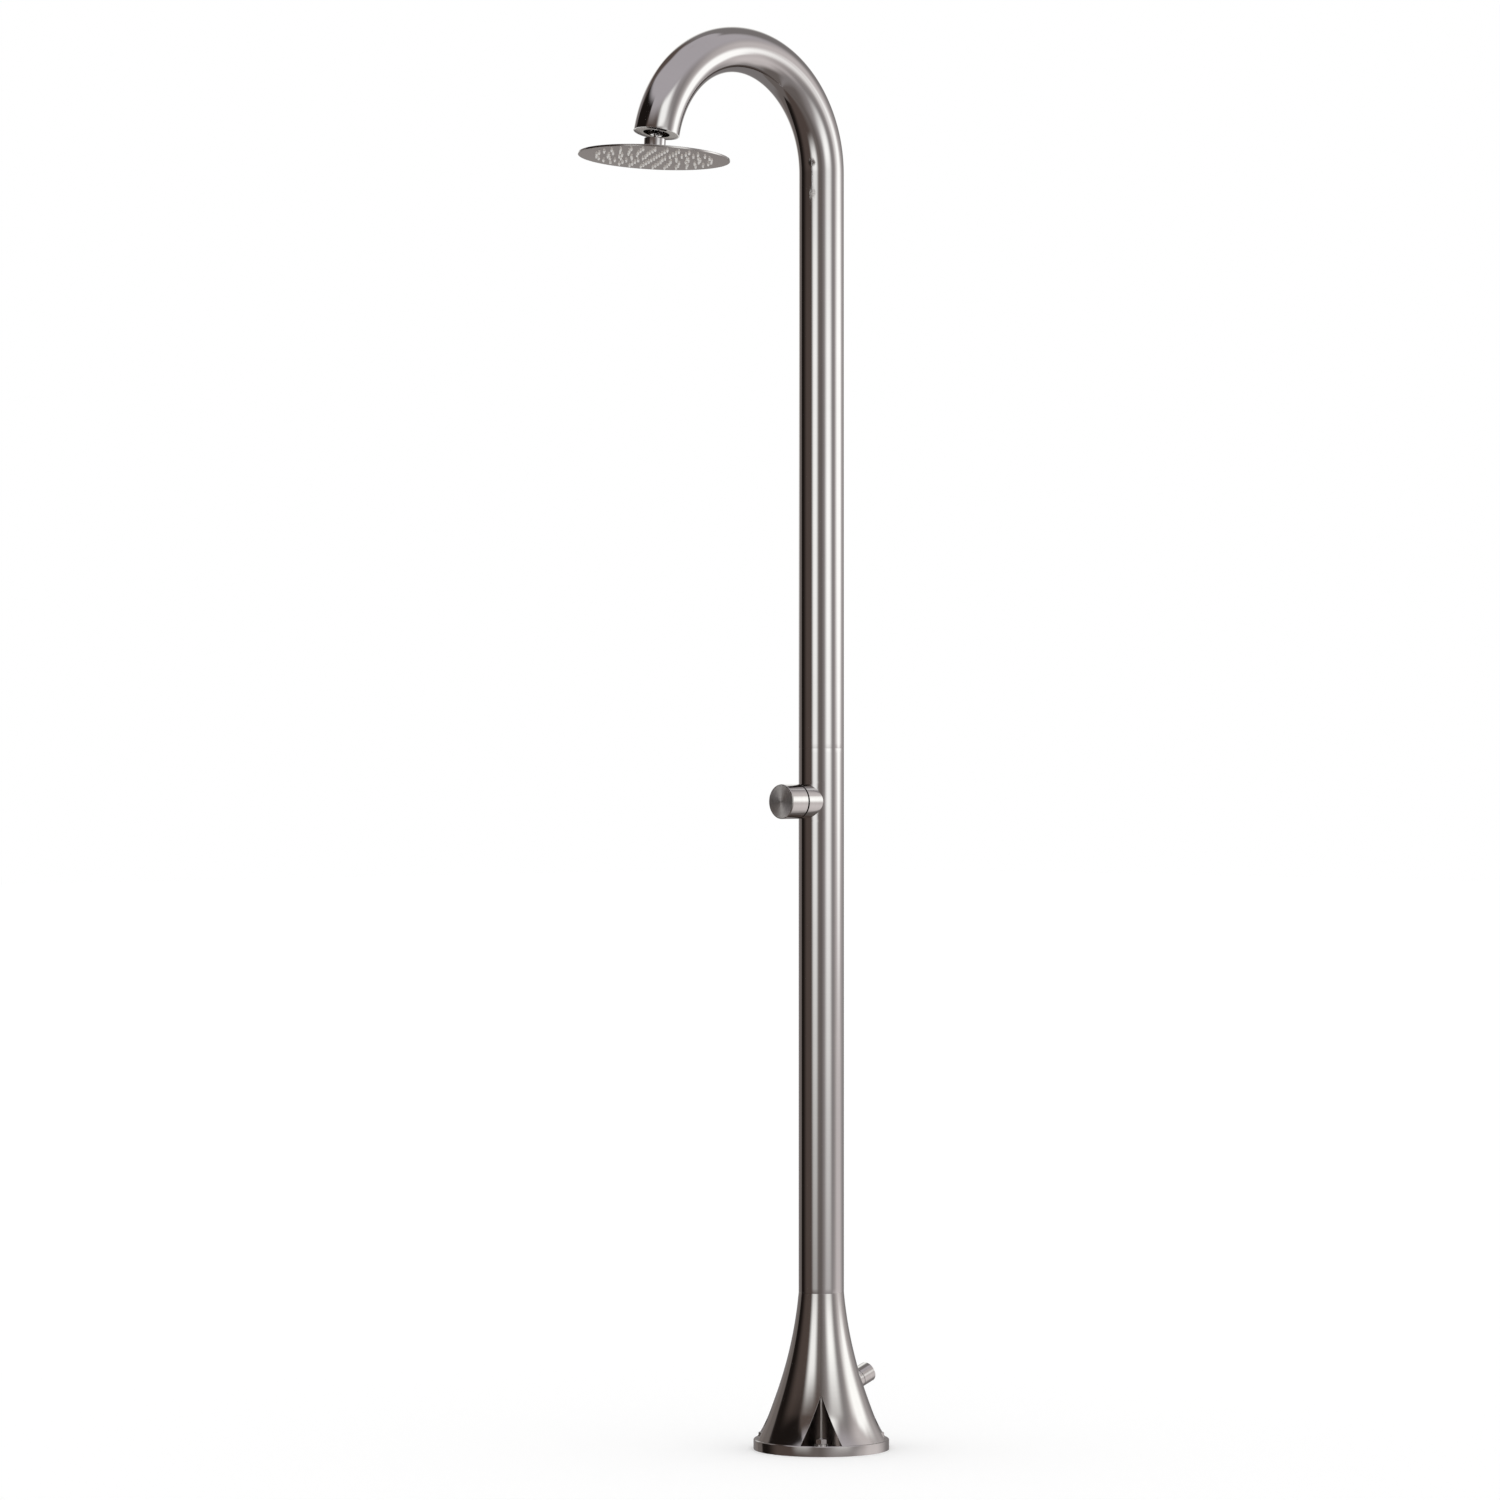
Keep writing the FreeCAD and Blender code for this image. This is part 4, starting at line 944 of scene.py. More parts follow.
@dataclass(frozen=True)
class Braid(Finish):
    """Woven steel sleeve of a hose: two sets of strands that cross at a slant.

    Attributes:
        strand: Width of a strand, in metres.
        slant: Degrees between a strand and the hose.
        relief: Height of the strands, in metres.
    """

    strand: float = 0.0016
    slant: float = 45.0
    relief: float = 3e-4

    def apply(self, bench: Bench) -> None:
        """The higher of two slanted waves gives the colour and the relief.

        Args:
            bench: The material that is being built.
        """
        shader, link = bench.shader, bench.link
        shader.inputs["Metallic"].default_value = 1.0
        shader.inputs["Roughness"].default_value = self.roughness
        weave = node(bench.nodes, "Math")
        weave.operation = "MAXIMUM"
        for number, lean in enumerate((math.radians(self.slant), -math.radians(self.slant))):
            turn = node(bench.nodes, "Mapping", Rotation=(lean, lean, 0))
            wave = node(bench.nodes, "TexWave", Scale=0.3 / self.strand)
            link(bench.place, turn.inputs["Vector"])
            link(turn.outputs["Vector"], wave.inputs["Vector"])
            link(wave.outputs["Fac"], weave.inputs[number])
        bench.tone(weave.outputs[0], self.color, (0.25, 1.0))
        bench.bump(weave.outputs[0], self.relief)


COLUMN_STEEL = Metal("column_steel", (0.74, 0.73, 0.73), 0.07, streak=0.03, shade=0.03,
                     relief=5e-7, anisotropy=0.4)
FOOT_STEEL = Metal("foot_steel", (0.74, 0.73, 0.72), 0.1, streak=0.04, shade=0.04,
                   relief=1e-6, anisotropy=0.4)
KNOB_STEEL = Metal("knob_steel", (0.76, 0.75, 0.74), 0.09, streak=0.06, shade=0.12,
                   relief=4e-6, anisotropy=0.6, line_width=0.0009)
KNOB_FACE_STEEL = Metal("knob_face_steel", (0.86, 0.85, 0.84), 0.68, shade=0.12, relief=6e-6,
                        anisotropy=0.95, line_width=0.0008, turn=0.0, metallic=0.95)
HEAD_STEEL = Metal("head_steel", (0.72, 0.71, 0.70), 0.16, streak=0.06, shade=0.05, anisotropy=0.5)
# Head steel darkened and warmed: painted shade of the head's underside.
SHADED_FACE_STEEL = Metal("painted_shade_face_steel", (0.51, 0.445, 0.41), 0.09, streak=0.04, shade=0.04, relief=2e-7)
# Dark steel of the mouth ring: its colour is painted shade of the mouth and its recess.
SHADED_MOUTH_STEEL = Metal("painted_shade_mouth_steel", (0.22, 0.195, 0.18), 0.16, streak=0.06, shade=0.05)
CHROME = Metal("chrome", (0.86, 0.86, 0.87), 0.06, streak=0.02, shade=0.02, relief=2e-7)
FASTENER_STEEL = Metal("fastener_steel", (0.72, 0.71, 0.70), 0.2, streak=0.06, shade=0.04)
PIPE_STEEL = Metal("pipe_steel", (0.70, 0.69, 0.68), 0.24)
# Dark steel of the core tube: its colour is painted shade for the dark inside of the flare behind its
# openings.
SHADED_CORE_STEEL = Metal("painted_shade_core_steel", (0.34, 0.29, 0.27), 0.4, shade=0.15)
WELDED_STEEL = Metal("welded_steel", (0.8, 0.78, 0.76), 0.45)
# Near black: painted shade on the faces in the gap between the mixer's boss and its knob, and in the knob's
# hollow.
GAP_SHADE_STEEL = Metal("painted_shade_gap_steel", (0.04, 0.036, 0.033), 0.5)
BRASS = Metal("brass", (0.80, 0.60, 0.30), 0.28, shade=0.1)
# Near-black brass: painted shade for the outlet carrier deep in the mouth's recess.
SHADED_CARRIER_BRASS = Metal("painted_shade_brass", (0.1, 0.085, 0.075), 0.35)
SILICONE = Plain("silicone", (0.82, 0.80, 0.77), 0.4)
LINER_PLASTIC = Plain("liner_plastic", (0.78, 0.77, 0.74), 0.35)
HOSE_BRAID = Braid("braided_hose", (0.66, 0.66, 0.66), 0.35)


# ------------------------------------------------------------------ assemblies
@dataclass
class Assembly:
    """A sub-assembly of the post: it makes its pieces and seats them on their bodies."""

    def add(self, name: str, sheets: Iterable[Sheet], finish: Finish, body: str, slot: str,
            nodes: Sequence[str] = (), crease: float = 30.0) -> bpy.types.Object:
        """Makes one piece, dresses it and lets it ride.

        Args:
            name: Name of the piece.
            sheets: Its grids of points.
            finish: Its finish.
            body: The body that it moves with.
            slot: The record's material slot; not used.
            nodes: The frame's nodes that it stands for.
            crease: Degrees above which an edge stays sharp.

        Returns:
            The piece.
        """
        piece = make_mesh(name, sheets, crease)
        piece.data.materials.append(finish.material())
        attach(piece, body)
        if nodes:
            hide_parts(*nodes)
        LOG.info("%s: %d faces, on %s", name, len(piece.data.polygons), body)
        return piece


def finish_ends(piece: bpy.types.Object, seat: Seat, finish: Finish,
                places: Iterable[tuple[float, int]]) -> None:
    """Gives a turned piece's flat ends a finish of their own.

    A face belongs to an end when its centre lies within 0.1 mm of it along the axis and
    the cosine between its normal and the axis, on the end's side, is above 0.9.

    Args:
        piece: The piece.
        seat: Where it sits.
        finish: The ends' finish.
        places: Distance of each end along the axis, in millimetres, and the side that it faces.
    """
    mesh = piece.data
    count = len(mesh.polygons)
    centre, normal = np.empty(count * 3, np.float32), np.empty(count * 3, np.float32)
    mesh.polygons.foreach_get("center", centre)
    mesh.polygons.foreach_get("normal", normal)
    axis, near, square = seat.axes[:, 2], 0.1 * MM, 0.9
    along = (centre.reshape(-1, 3) - seat.origin) @ axis
    facing = normal.reshape(-1, 3) @ axis
    chosen = np.zeros(count, bool)
    for place, side in places:
        chosen |= (np.abs(along - place * MM) < near) & (facing * side > square)
    index = np.empty(count, np.int32)
    mesh.polygons.foreach_get("material_index", index)
    index[chosen] = len(mesh.materials)
    mesh.materials.append(finish.material())
    mesh.polygons.foreach_set("material_index", index)


@dataclass
class Foot(Assembly):
    """Base plate, flared cover with four arched openings, core tube, ribs and anchor nuts.

    Sizes are in millimetres.
    """

    plate_radius: float = 105.0
    plate_height: float = 16.0
    plate_chamfer: float = 1.2
    core_bore: float = 30.7
    core_radius: float = 32.7
    core_top: float = 400.0
    anchor_radius: float = 88.0
    anchor_hole: float = 5.5
    flare_top: tuple[float, float] = (35.0, 243.0)
    flare_waist: tuple[float, float] = (78.2, 62.3)
    flare_foot: tuple[float, float] = (104.0, 16.0)
    flare_lean: float = 5.2
    flare_wall: float = 2.0
    flare_edge: float = 0.7
    opening_tip: tuple[float, float] = (1.2, 88.0)
    opening_foot: tuple[float, float] = (32.0, 16.0)
    opening_side_radius: float = 540.0
    gusset: tuple[tuple[float, float], ...] = ((66.0, 16.0), (66.0, 84.0), (36.7, 150.0))
    gusset_thickness: float = 3.0
    gusset_edge: float = 0.35
    washer_radius: float = 10.5
    washer_height: float = 2.0
    nut_flats: float = 16.0
    nut_height: float = 8.0
    nut_bore: float = 5.05
    tap_height: float = 74.2
    tap_lean: float = 20.0
    tap_hole: float = 15.95
    tap_core_hole: float = 12.2
    screw_height: float = 267.0
    screw_hole: float = 3.1
    sector_columns: int = 44

    def build(self) -> None:
        """Makes every piece of the foot."""
        self.make_plate()
        self.make_flare()
        self.make_core()
        self.make_gussets()
        self.make_anchors()

    @property
    def anchor_angles(self) -> Array:
        """Directions of the four anchors and openings."""
        return math.radians(45) + np.arange(4) * TURN / 4

    @property
    def anchor_centres(self) -> Array:
        """Centres of the four anchors, in metres."""
        angle = self.anchor_angles
        return np.stack([np.cos(angle), np.sin(angle), angle * 0], 1) * self.anchor_radius * MM

    def tap_drill(self, radius: float) -> Drill:
        """Hole along the foot tap's axis, its radius in millimetres."""
        tilt = math.radians(self.tap_lean)
        return Drill((0, 0, self.tap_height * MM), (0, math.cos(tilt), math.sin(tilt)), radius * MM)

    def make_plate(self) -> None:
        """Thick disc with a bore, four bolt holes and a chamfered rim."""
        top, side, edge, columns, rows = self.plate_height, self.plate_radius, 0.25, 144, 36
        low = side - self.plate_chamfer
        angle, share = np.meshgrid(np.linspace(-math.pi, math.pi, columns + 1), np.linspace(0, 1, rows + 1))
        upper = (self.core_bore + share * (low - edge - self.core_bore)) * MM
        lower = (self.core_bore + share * (side - edge - self.core_bore)) * MM
        holes = [Drill(tuple(centre), (0, 0, 1), self.anchor_hole * MM) for centre in self.anchor_centres]
        faces = drilled((Disc(top * MM), angle, upper), (Disc(0.0), angle, lower), holes, 1.7)
        rim = rounded([(low - edge, top), (low, top, edge), (side, top - self.plate_chamfer, edge),
                       (side, 0, edge), (side - edge, 0)], closed=False)
        bore = np.array([(self.core_bore, 0), (self.core_bore, top)]) * MM
        self.add("base_disc", [*faces, turned(rim, Seat(), columns), turned(bore, Seat(), columns)],
                 FOOT_STEEL, "post", "foot_steel", ["base_plate"])

    def arcs(self) -> tuple[tuple[Array, float], tuple[Array, float]]:
        """Centres and radii of the flare's upper and lower arc, tangent at the waist.

        Returns:
            (centre, radius) of the upper and of the lower arc, in millimetres.
        """
        lean = math.radians(self.flare_lean)
        top, waist, foot = (np.array(p) for p in (self.flare_top, self.flare_waist, self.flare_foot))
        upper = tangent_arc(top, np.array([math.sin(lean), -math.cos(lean)]), waist)
        inwards = (waist - upper[0]) / upper[1]
        return upper, tangent_arc(waist, np.array([-inwards[1], inwards[0]]), foot)

    def flare_radius(self, wall: float) -> Callable[[Array], Array]:
        """Radius of the flare at a height: centre - sqrt(R^2 - rise^2) on the arc that holds it.

        Args:
            wall: How far inside the outer face, in millimetres.

        Returns:
            The radius as a function of the height, in metres.
        """
        upper, lower = self.arcs()
        waist = self.flare_waist[1] + (self.flare_waist[1] - upper[0][1]) / upper[1] * wall

        def radius(height: Array) -> Array:
            """Radius of the arc that holds each height.

            Args:
                height: Heights, in metres.

            Returns:
                The radii, in metres.
            """
            z = height / MM
            above, below = (centre[0] - np.sqrt(np.maximum((arc + wall) ** 2 - (z - centre[1]) ** 2, 0))
                            for centre, arc in (upper, lower))
            return np.where(z >= waist, above, below) * MM

        return radius

    def opening_half_width(self, height: Array) -> Array:
        """Half the opening's width at a height: its sides are arcs with centres outside it.

        Args:
            height: Heights, in metres.

        Returns:
            Half the width at each height, in metres.
        """
        low, high = np.array(self.opening_foot), np.array(self.opening_tip)
        radius, chord = self.opening_side_radius, high - low
        length = np.linalg.norm(chord)
        out = np.array([chord[1], -chord[0]]) / length
        centre = (low + high) / 2 + out * math.sqrt(radius ** 2 - length ** 2 / 4)
        z = np.minimum(height / MM, self.opening_tip[1])
        return (centre[0] - np.sqrt(radius ** 2 - (z - centre[1]) ** 2)) * MM

    def make_flare(self) -> None:
        """Spun cover: two tangent arcs turned round the axis, cut by the four openings."""
        tip, fine_step, fine_end, plain_step = self.opening_tip[1], 2.6, 125.0, 6.0
        heights = stations(self.flare_foot[1], (tip, fine_step), (fine_end, fine_step),
                           (self.flare_top[1], plain_step))
        tip_row = int(np.argmin(np.abs(heights - tip * MM)))
        grids = []
        for wall in (0.0, self.flare_wall):
            radius = self.flare_radius(wall)
            reach = radius(np.minimum(heights, tip * MM))
            half = np.arcsin(self.opening_half_width(heights) / reach)[:, None]
            share = np.linspace(0, 1, self.sector_columns + 1)[:-1]
            columns = []
            for a in self.anchor_angles:
                columns += [a - half + half * np.arange(2), a + half + share * (TURN / 4 - 2 * half)]
            angle = np.concatenate([*columns, self.anchor_angles[0] + TURN - half], 1)
            grids.append((Wall(Seat(), radius), angle, heights[:, None] + np.zeros_like(angle)))
        keep = np.ones((len(heights) - 1, angle.shape[1] - 1), bool)
        block = 2 + self.sector_columns
        for start in range(0, 4 * block, block):
            keep[:tip_row, start:start + 2] = False
        sheets = drilled(*grids, [self.tap_drill(self.tap_hole)], 1.3, keep)
        outer, inner = (sheet.points for sheet in sheets[-2:])
        sheets += [ruled(outer[0], inner[0], keep[:1]), ruled(outer[-1], inner[-1])]
        for start in range(0, 4 * block, block):
            sheets.append(ruled(outer[tip_row, start:start + 3], inner[tip_row, start:start + 3]))
            sheets += [ruled(outer[:tip_row + 1, j], inner[:tip_row + 1, j]) for j in (start, start + 2)]
        flare = self.add("flare_cover", sheets, FOOT_STEEL, "post", "foot_steel", ["base_flare"])
        soften(flare, self.flare_edge)

    def make_core(self) -> None:
        """Tube that the flare hides, drilled for the tap's body and for the set screw."""
        tap_window, screw_window = (62.0, 98.0), (258.0, 276.0)
        heights = stations(self.plate_height, (tap_window[0], 8), (tap_window[1], 2), (screw_window[0], 10),
                           (screw_window[1], 1.5), (self.core_top, 12))
        holes = [self.tap_drill(self.tap_core_hole),
                 Drill((0, 0, self.screw_height * MM), (0, 1, 0), self.screw_hole * MM)]
        sheets = drilled_tube(Seat(), [self.core_radius, self.core_bore], heights, 144, holes, 1.35)
        outer, inner = (sheet.points for sheet in sheets[-2:])
        sheets += [ruled(outer[0], inner[0]), ruled(outer[-1], inner[-1])]
        # The core tube's dark colour is painted shade inside the flare.
        self.add("core_sleeve", sheets, SHADED_CORE_STEEL, "post", "foot_steel", ["foot_core_tube"])

    def make_gussets(self) -> None:
        """Four radial ribs, one behind each opening."""
        corners, steps = np.array(self.gusset), 9
        sides = [np.linspace(a, b, steps)[:-1] for a, b in zip(corners[:-1, 1], corners[1:, 1])]
        height = np.concatenate([*sides, corners[-1:, 1]])
        reach = np.interp(height, corners[:, 1], corners[:, 0])
        share = np.linspace(0, 1, steps)
        radius = self.core_radius + share * (reach - self.core_radius)[:, None]
        for number, angle in enumerate(self.anchor_angles, 1):
            across = np.array([-math.sin(angle), math.cos(angle), 0]) * self.gusset_thickness / 2
            along = np.array([math.cos(angle), math.sin(angle), 0])
            middle = radius[..., None] * along + height[:, None, None] * np.array([0, 0, 1.0])
            rib = self.add(f"rib_{number}", slab((middle + across) * MM, (middle - across) * MM),
                           WELDED_STEEL, "post", "foot_steel", [f"gusset_{number}"])
            soften(rib, self.gusset_edge)

    def make_anchors(self) -> None:
        """A washer and a chamfered nut on each anchor."""
        top = self.plate_height + self.washer_height
        ring = rounded([(self.nut_bore, self.plate_height, 0.2), (self.washer_radius, self.plate_height, 0.3),
                        (self.washer_radius, top, 0.4), (self.nut_bore, top, 0.3)])
        nut = hex_prism(self.nut_flats, top, top + self.nut_height, self.nut_bore, Seat(), True)
        for name, sheet, stands_for in (("washer_set", turned(ring, Seat(), 48), "anchor_washers"),
                                        ("nut_set", nut, "anchor_nuts")):
            sheets = [moved(sheet, *place) for place in zip(self.anchor_centres, self.anchor_angles)]
            self.add(name, sheets, FASTENER_STEEL, "post", "fastener_steel", [stands_for])


@dataclass
class Column(Assembly):
    """The two tubes of the column and the set screws at their back.

    Sizes are in millimetres.
    """

    radius: float = 35.0
    wall: float = 2.0
    foot_height: float = 243.0
    joint_height: float = 1084.8
    control_height: float = 1002.5
    neck_hole: float = 19.3
    bend_start: float = 1973.8
    bend_radius: float = 177.0
    bend_sweep: float = 168.3
    screw: float = 6.0
    screw_socket: float = 3.0
    screw_recess: float = 0.2
    screw_inset: float = 24.0
    screw_hole: float = 3.1
    screw_window: float = 9.0
    neck_window: float = 36.0
    edge: float = 0.12
    columns: int = 144

    def build(self) -> None:
        """Makes the lower tube, the gooseneck and the set screws."""
        low, high, inset = self.foot_height, self.joint_height, self.screw_inset
        screws = [low + inset, high - inset, high + inset]
        neck, wide, near = self.control_height, self.neck_window, self.screw_window
        rows = stations(low + self.edge, (screws[0] - near, 8), (screws[0] + near, 1.5),
                        (neck - wide, 20), (neck + wide, 2),
                        (screws[1] - near, 8), (screws[1] + near, 1.5), (high - self.edge, 8))
        holes = [self.back_hole(screws[0]), self.back_hole(screws[1]),
                 Drill((0, 0, neck * MM), (0, -1, 0), self.neck_hole * MM)]
        self.add("lower_column_tube", self.tube(Seat(), rows, low, high, holes), COLUMN_STEEL,
                 "post", "column_steel", ["lower_column"])
        path = Gooseneck(high * MM, self.bend_start * MM, self.bend_radius * MM, self.bend_sweep)
        end = path.length / MM
        rows = stations(self.edge, (inset - near, 8), (inset + near, 1.5), (self.bend_start - high, 20),
                        (end - self.edge, 4))
        self.add("gooseneck_tube", self.tube(path, rows, 0, end, [self.back_hole(inset)]), COLUMN_STEEL,
                 "post", "column_steel", ["upper_column"])
        flush = self.radius - self.screw_recess
        grubs = [socket_screw(self.screw, flush - self.screw, flush, self.screw_socket,
                              Seat((0, 0, height * MM), -90)) for height in screws]
        self.add("column_grub_screws", grubs, FASTENER_STEEL, "post", "fastener_steel", ["column_set_screws"])

    def back_hole(self, height: float) -> Drill:
        """Hole for a set screw at the back of a tube."""
        return Drill((0, 0, height * MM), (0, 1, 0), self.screw_hole * MM)

    def tube(self, path: Seat | Gooseneck, rows: Array, low: float, high: float,
             holes: Sequence[Drill]) -> list[Sheet]:
        """Drilled tube with eased outer edges.

        Args:
            path: The tube's centre line.
            rows: Distances along it, between the eased edges.
            low: Distance of the lower end, in millimetres.
            high: Distance of the upper end.
            holes: What goes through its wall.

        Returns:
            The closed sheets.
        """
        inside = self.radius - self.wall
        ends = (tube_end(inside, self.radius, end, way * self.edge) for end, way in ((low, 1), (high, -1)))
        return [*drilled_tube(path, [self.radius, inside], rows, self.columns, holes),
                *(turned(end, path, self.columns) for end in ends)]


BALL_CENTRE = (0.0, -0.354033, 1.991774)
MOUTH_SEAT = Seat(BALL_CENTRE, -11.7)
HEAD_SEAT = Seat(BALL_CENTRE, -3.9)


@dataclass
class Mouth(Assembly):
    """Ring in the gooseneck's mouth, outlet carrier, ball stud and screwed collar.

    Sizes are in millimetres, in the frame of the ball.
    """

    lip: float = 18.3
    lip_thickness: float = 3.0
    hole: float = 20.0
    tube_bore: float = 32.9
    sleeve: float = 22.5
    depth: float = 9.0
    ball_radius: float = 9.0
    neck: float = 3.8
    waterway: float = 2.4
    hex_start: float = 15.2
    hex_end: float = 21.2
    hex_flats: float = 17.0
    thread_radius: float = 10.0
    thread_depth: float = 0.95
    thread_pitch: float = 1.8
    carrier_thickness: float = 5.0
    carrier_hub: float = 14.0
    carrier_hub_length: float = 6.0
    collar_radius: float = 16.5
    collar_top: float = 10.0
    collar_bottom: float = -12.0
    collar_mouth: float = 8.5
    collar_bore: float = 13.45
    collar_step: float = -2.0
    socket_radius: float = 10.75

    def build(self) -> None:
        """Makes the four pieces."""
        top, lip_top = self.lip + self.depth, self.lip + self.lip_thickness
        ring = rounded([(self.hole, self.lip, 0.5), (self.tube_bore, self.lip, 0.25),
                        (self.tube_bore, lip_top), (self.sleeve, lip_top), (self.sleeve, top),
                        (self.hole, top)])
        # The mouth ring's dark colour is painted shade.
        self.add("mouth_plate", [turned(ring, MOUTH_SEAT, 120)], SHADED_MOUTH_STEEL,
                 "post", "column_steel", ["mouth_ring"])
        disc_top = top + self.carrier_thickness
        hub_top = disc_top + self.carrier_hub_length
        bore = self.thread_radius + 0.1
        hub = self.carrier_hub
        carrier = rounded([(bore, top, 0.5), (self.sleeve, top), (self.sleeve, disc_top), (hub, disc_top),
                           (hub, hub_top, 0.5), (bore, hub_top, 0.5)])
        # The carrier's dark colour is painted shade in the recess.
        self.add("carrier_disc", [turned(carrier, MOUTH_SEAT, 96)], SHADED_CARRIER_BRASS,
                 "post", "brass", ["outlet_carrier"])
        self.add("ball_and_neck", self.stud(MOUTH_SEAT, disc_top), CHROME, "post", "chrome", ["ball_stud"])
        self.add("collar_ring", [self.collar(HEAD_SEAT)], CHROME, "shower_head", "chrome", ["head_collar"])

    def stud(self, seat: Seat, end: float) -> list[Sheet]:
        """Hollow stud: ball, neck, hexagon and thread, each closed by itself.

        The thread's radius is its crest less a triangle wave of distance / pitch - angle / turn.

        Args:
            seat: Where it sits.
            end: Distance of the thread's end along the axis.

        Returns:
            The closed sheets.
        """
        water, ball = self.waterway, self.ball_radius
        low, high = -math.acos(water / ball), math.acos(self.neck / ball)
        sphere = arc_rows(ball, np.linspace(low, high, 40))
        inside = self.hex_start + 0.5
        neck = rounded([(self.neck, ball * math.sin(high)), (self.neck, self.hex_start, 0.8),
                        (self.neck + 1, self.hex_start + 0.05), (self.neck + 1, inside)], closed=False)
        ball_neck = np.concatenate([np.array([[water, inside], [water, ball * math.sin(low)]]) * MM,
                                    sphere[1:], neck[1:], np.array([[water, inside]]) * MM])
        steps, run_in = 72, 1.2 * MM
        rows = stations(self.hex_end, (end, 0.15))
        turn = np.linspace(0, TURN, steps + 1)
        wave = np.abs((rows[:, None] / (self.thread_pitch * MM) - turn / TURN) % 1 - 0.5) * 2
        fade = np.clip((rows - rows[0]) / run_in, 0, 1)[:, None]
        radius = (self.thread_radius - self.thread_depth * (1 - wave * fade)) * MM
        thread = turned(np.stack([np.full_like(rows, self.thread_radius * MM), rows], 1), seat, steps, radius)
        bore = turned(np.array([(water, self.hex_end), (water, end)]) * MM, seat, steps)
        pairs = ((thread.points, bore.points), (thread.uv, bore.uv), (thread.grain, bore.grain))
        caps = [Sheet(*(np.stack([a[row], b[row]]) for a, b in pairs)) for row in (0, -1)]
        nut = hex_prism(self.hex_flats, self.hex_start, self.hex_end, water + 0.1, seat)
        return [turned(ball_neck, seat, steps), nut, thread, bore, *caps]

    def collar(self, seat: Seat) -> Sheet:
        """Ring with eased edges, whose inside is part of the socket's sphere.

        Args:
            seat: Where it sits.

        Returns:
            The closed sheet.
        """
        throat, socket_radius, top, low = (self.collar_mouth - 1, self.socket_radius, self.collar_top,
                                           self.collar_bottom)
        angle = np.linspace(0, math.acos(throat / socket_radius), 16)
        outside = rounded([(throat, socket_radius * math.sin(angle[-1])), (self.collar_mouth, top, 0.4),
                           (self.collar_radius, top, 0.9), (self.collar_radius, low, 0.3),
                           (self.collar_bore, low), (self.collar_bore, self.collar_step),
                           (socket_radius, self.collar_step), (socket_radius, 0)], closed=False, step=9)
        return turned(np.concatenate([arc_rows(socket_radius, angle), outside[1:]]), seat, 96)


@dataclass
class ShowerHead(Assembly):
    """Thin dished head: back shell with its rim, and the nibs of the silicone mat.

    Sizes are in millimetres, in the frame of the ball.
    """

    seat: Seat = HEAD_SEAT
    radius: float = 114.7
    sheet: float = 1.2
    face: float = -19.7
    rim_top: float = -16.7
    fold: float = 111.5
    hub_seat: float = -12.0
    hub_shoulder: float = 24.0
    hub: float = 13.2
    hub_top: float = -2.3
    socket_radius: float = 10.75
    waterway: float = 5.05
    mat_top: float = -18.1
    mat_bottom: float = -18.9
    mat_radius: float = 113.4
    rings: int = 5
    pitch: float = 17.4
    nib_root: float = 2.1
    nib_tip: float = 1.3
    nib_end: float = -23.2
    orifice: float = 0.5
    orifice_depth: float = 2.0

    def build(self) -> None:
        """Makes the shell and the nibs."""
        cup = math.sqrt(self.socket_radius ** 2 - self.hub_top ** 2)
        angle = np.linspace(math.atan2(self.hub_top, cup), -math.acos(self.waterway / self.socket_radius), 16)
        inner_top, inner_seat = self.rim_top - self.sheet, self.hub_seat - self.sheet
        face_radius = self.radius - self.sheet
        shell = rounded([(self.waterway, self.socket_radius * math.sin(angle[-1])),
                         (self.waterway, inner_seat), (self.hub_shoulder, inner_seat, 5),
                         (self.fold, inner_top), (face_radius, inner_top), (face_radius, self.face, 0.3),
                         (self.radius, self.face, 0.35), (self.radius, self.rim_top, 0.6),
                         (self.fold, self.rim_top, 0.5), (self.hub_shoulder, self.hub_seat, 6),
                         (self.hub, self.hub_seat, 0.4), (self.hub, self.hub_top, 0.3), (cup, self.hub_top)],
                        closed=False, step=9)
        profile = np.concatenate([denser(shell, 4 * MM), arc_rows(self.socket_radius, angle)[1:], shell[:1]])
        self.add("head_shell", [turned(profile, self.seat, 180)], HEAD_STEEL,
                 "shower_head", "head_steel", ["head_back_shell"])
        self.add("silicone_nibs", self.nibs(), SILICONE, "shower_head", "silicone", ["nozzle_mat"], crease=50)

    def places(self) -> Array:
        """Centre and rings of 6, 12, 18 ... nibs, each odd ring turned by half a step.

        Returns:
            (x, y) of each nib in the head's own frame, in metres.
        """
        rings = [np.zeros((1, 2))]
        for ring in range(1, self.rings + 1):
            angle = TURN * (np.arange(6 * ring) + 0.5 * (ring % 2)) / (6 * ring)
            rings.append(ring * self.pitch * MM * np.stack([np.cos(angle), np.sin(angle)], 1))
        return np.concatenate(rings)

    def nibs(self) -> list[Sheet]:
        """The mat's disc, and a round-tipped hollow nib at each place.

        Returns:
            The mat's sheet, then one for each nib.
        """
        floor = self.nib_end + self.orifice_depth
        profile = rounded([(self.nib_root + 0.6, self.mat_bottom), (self.nib_root, self.mat_bottom - 0.1),
                           (self.nib_tip, self.nib_end, 0.5), (self.orifice, self.nib_end, 0.25),
                           (self.orifice, floor), (0, floor)], closed=False, step=30)
        nib = turned(profile, Seat(), 16)
        mat = np.array([(0, self.mat_top), (self.mat_radius, self.mat_top),
                        (self.mat_radius, self.mat_bottom), (0, self.mat_bottom)]) * MM
        sheets = [turned(mat, self.seat, 96)]
        for x, y in self.places():
            points = self.seat.carry(nib.points + np.array([x, y, 0]))
            sheets.append(Sheet(points, nib.uv, points))
        return sheets


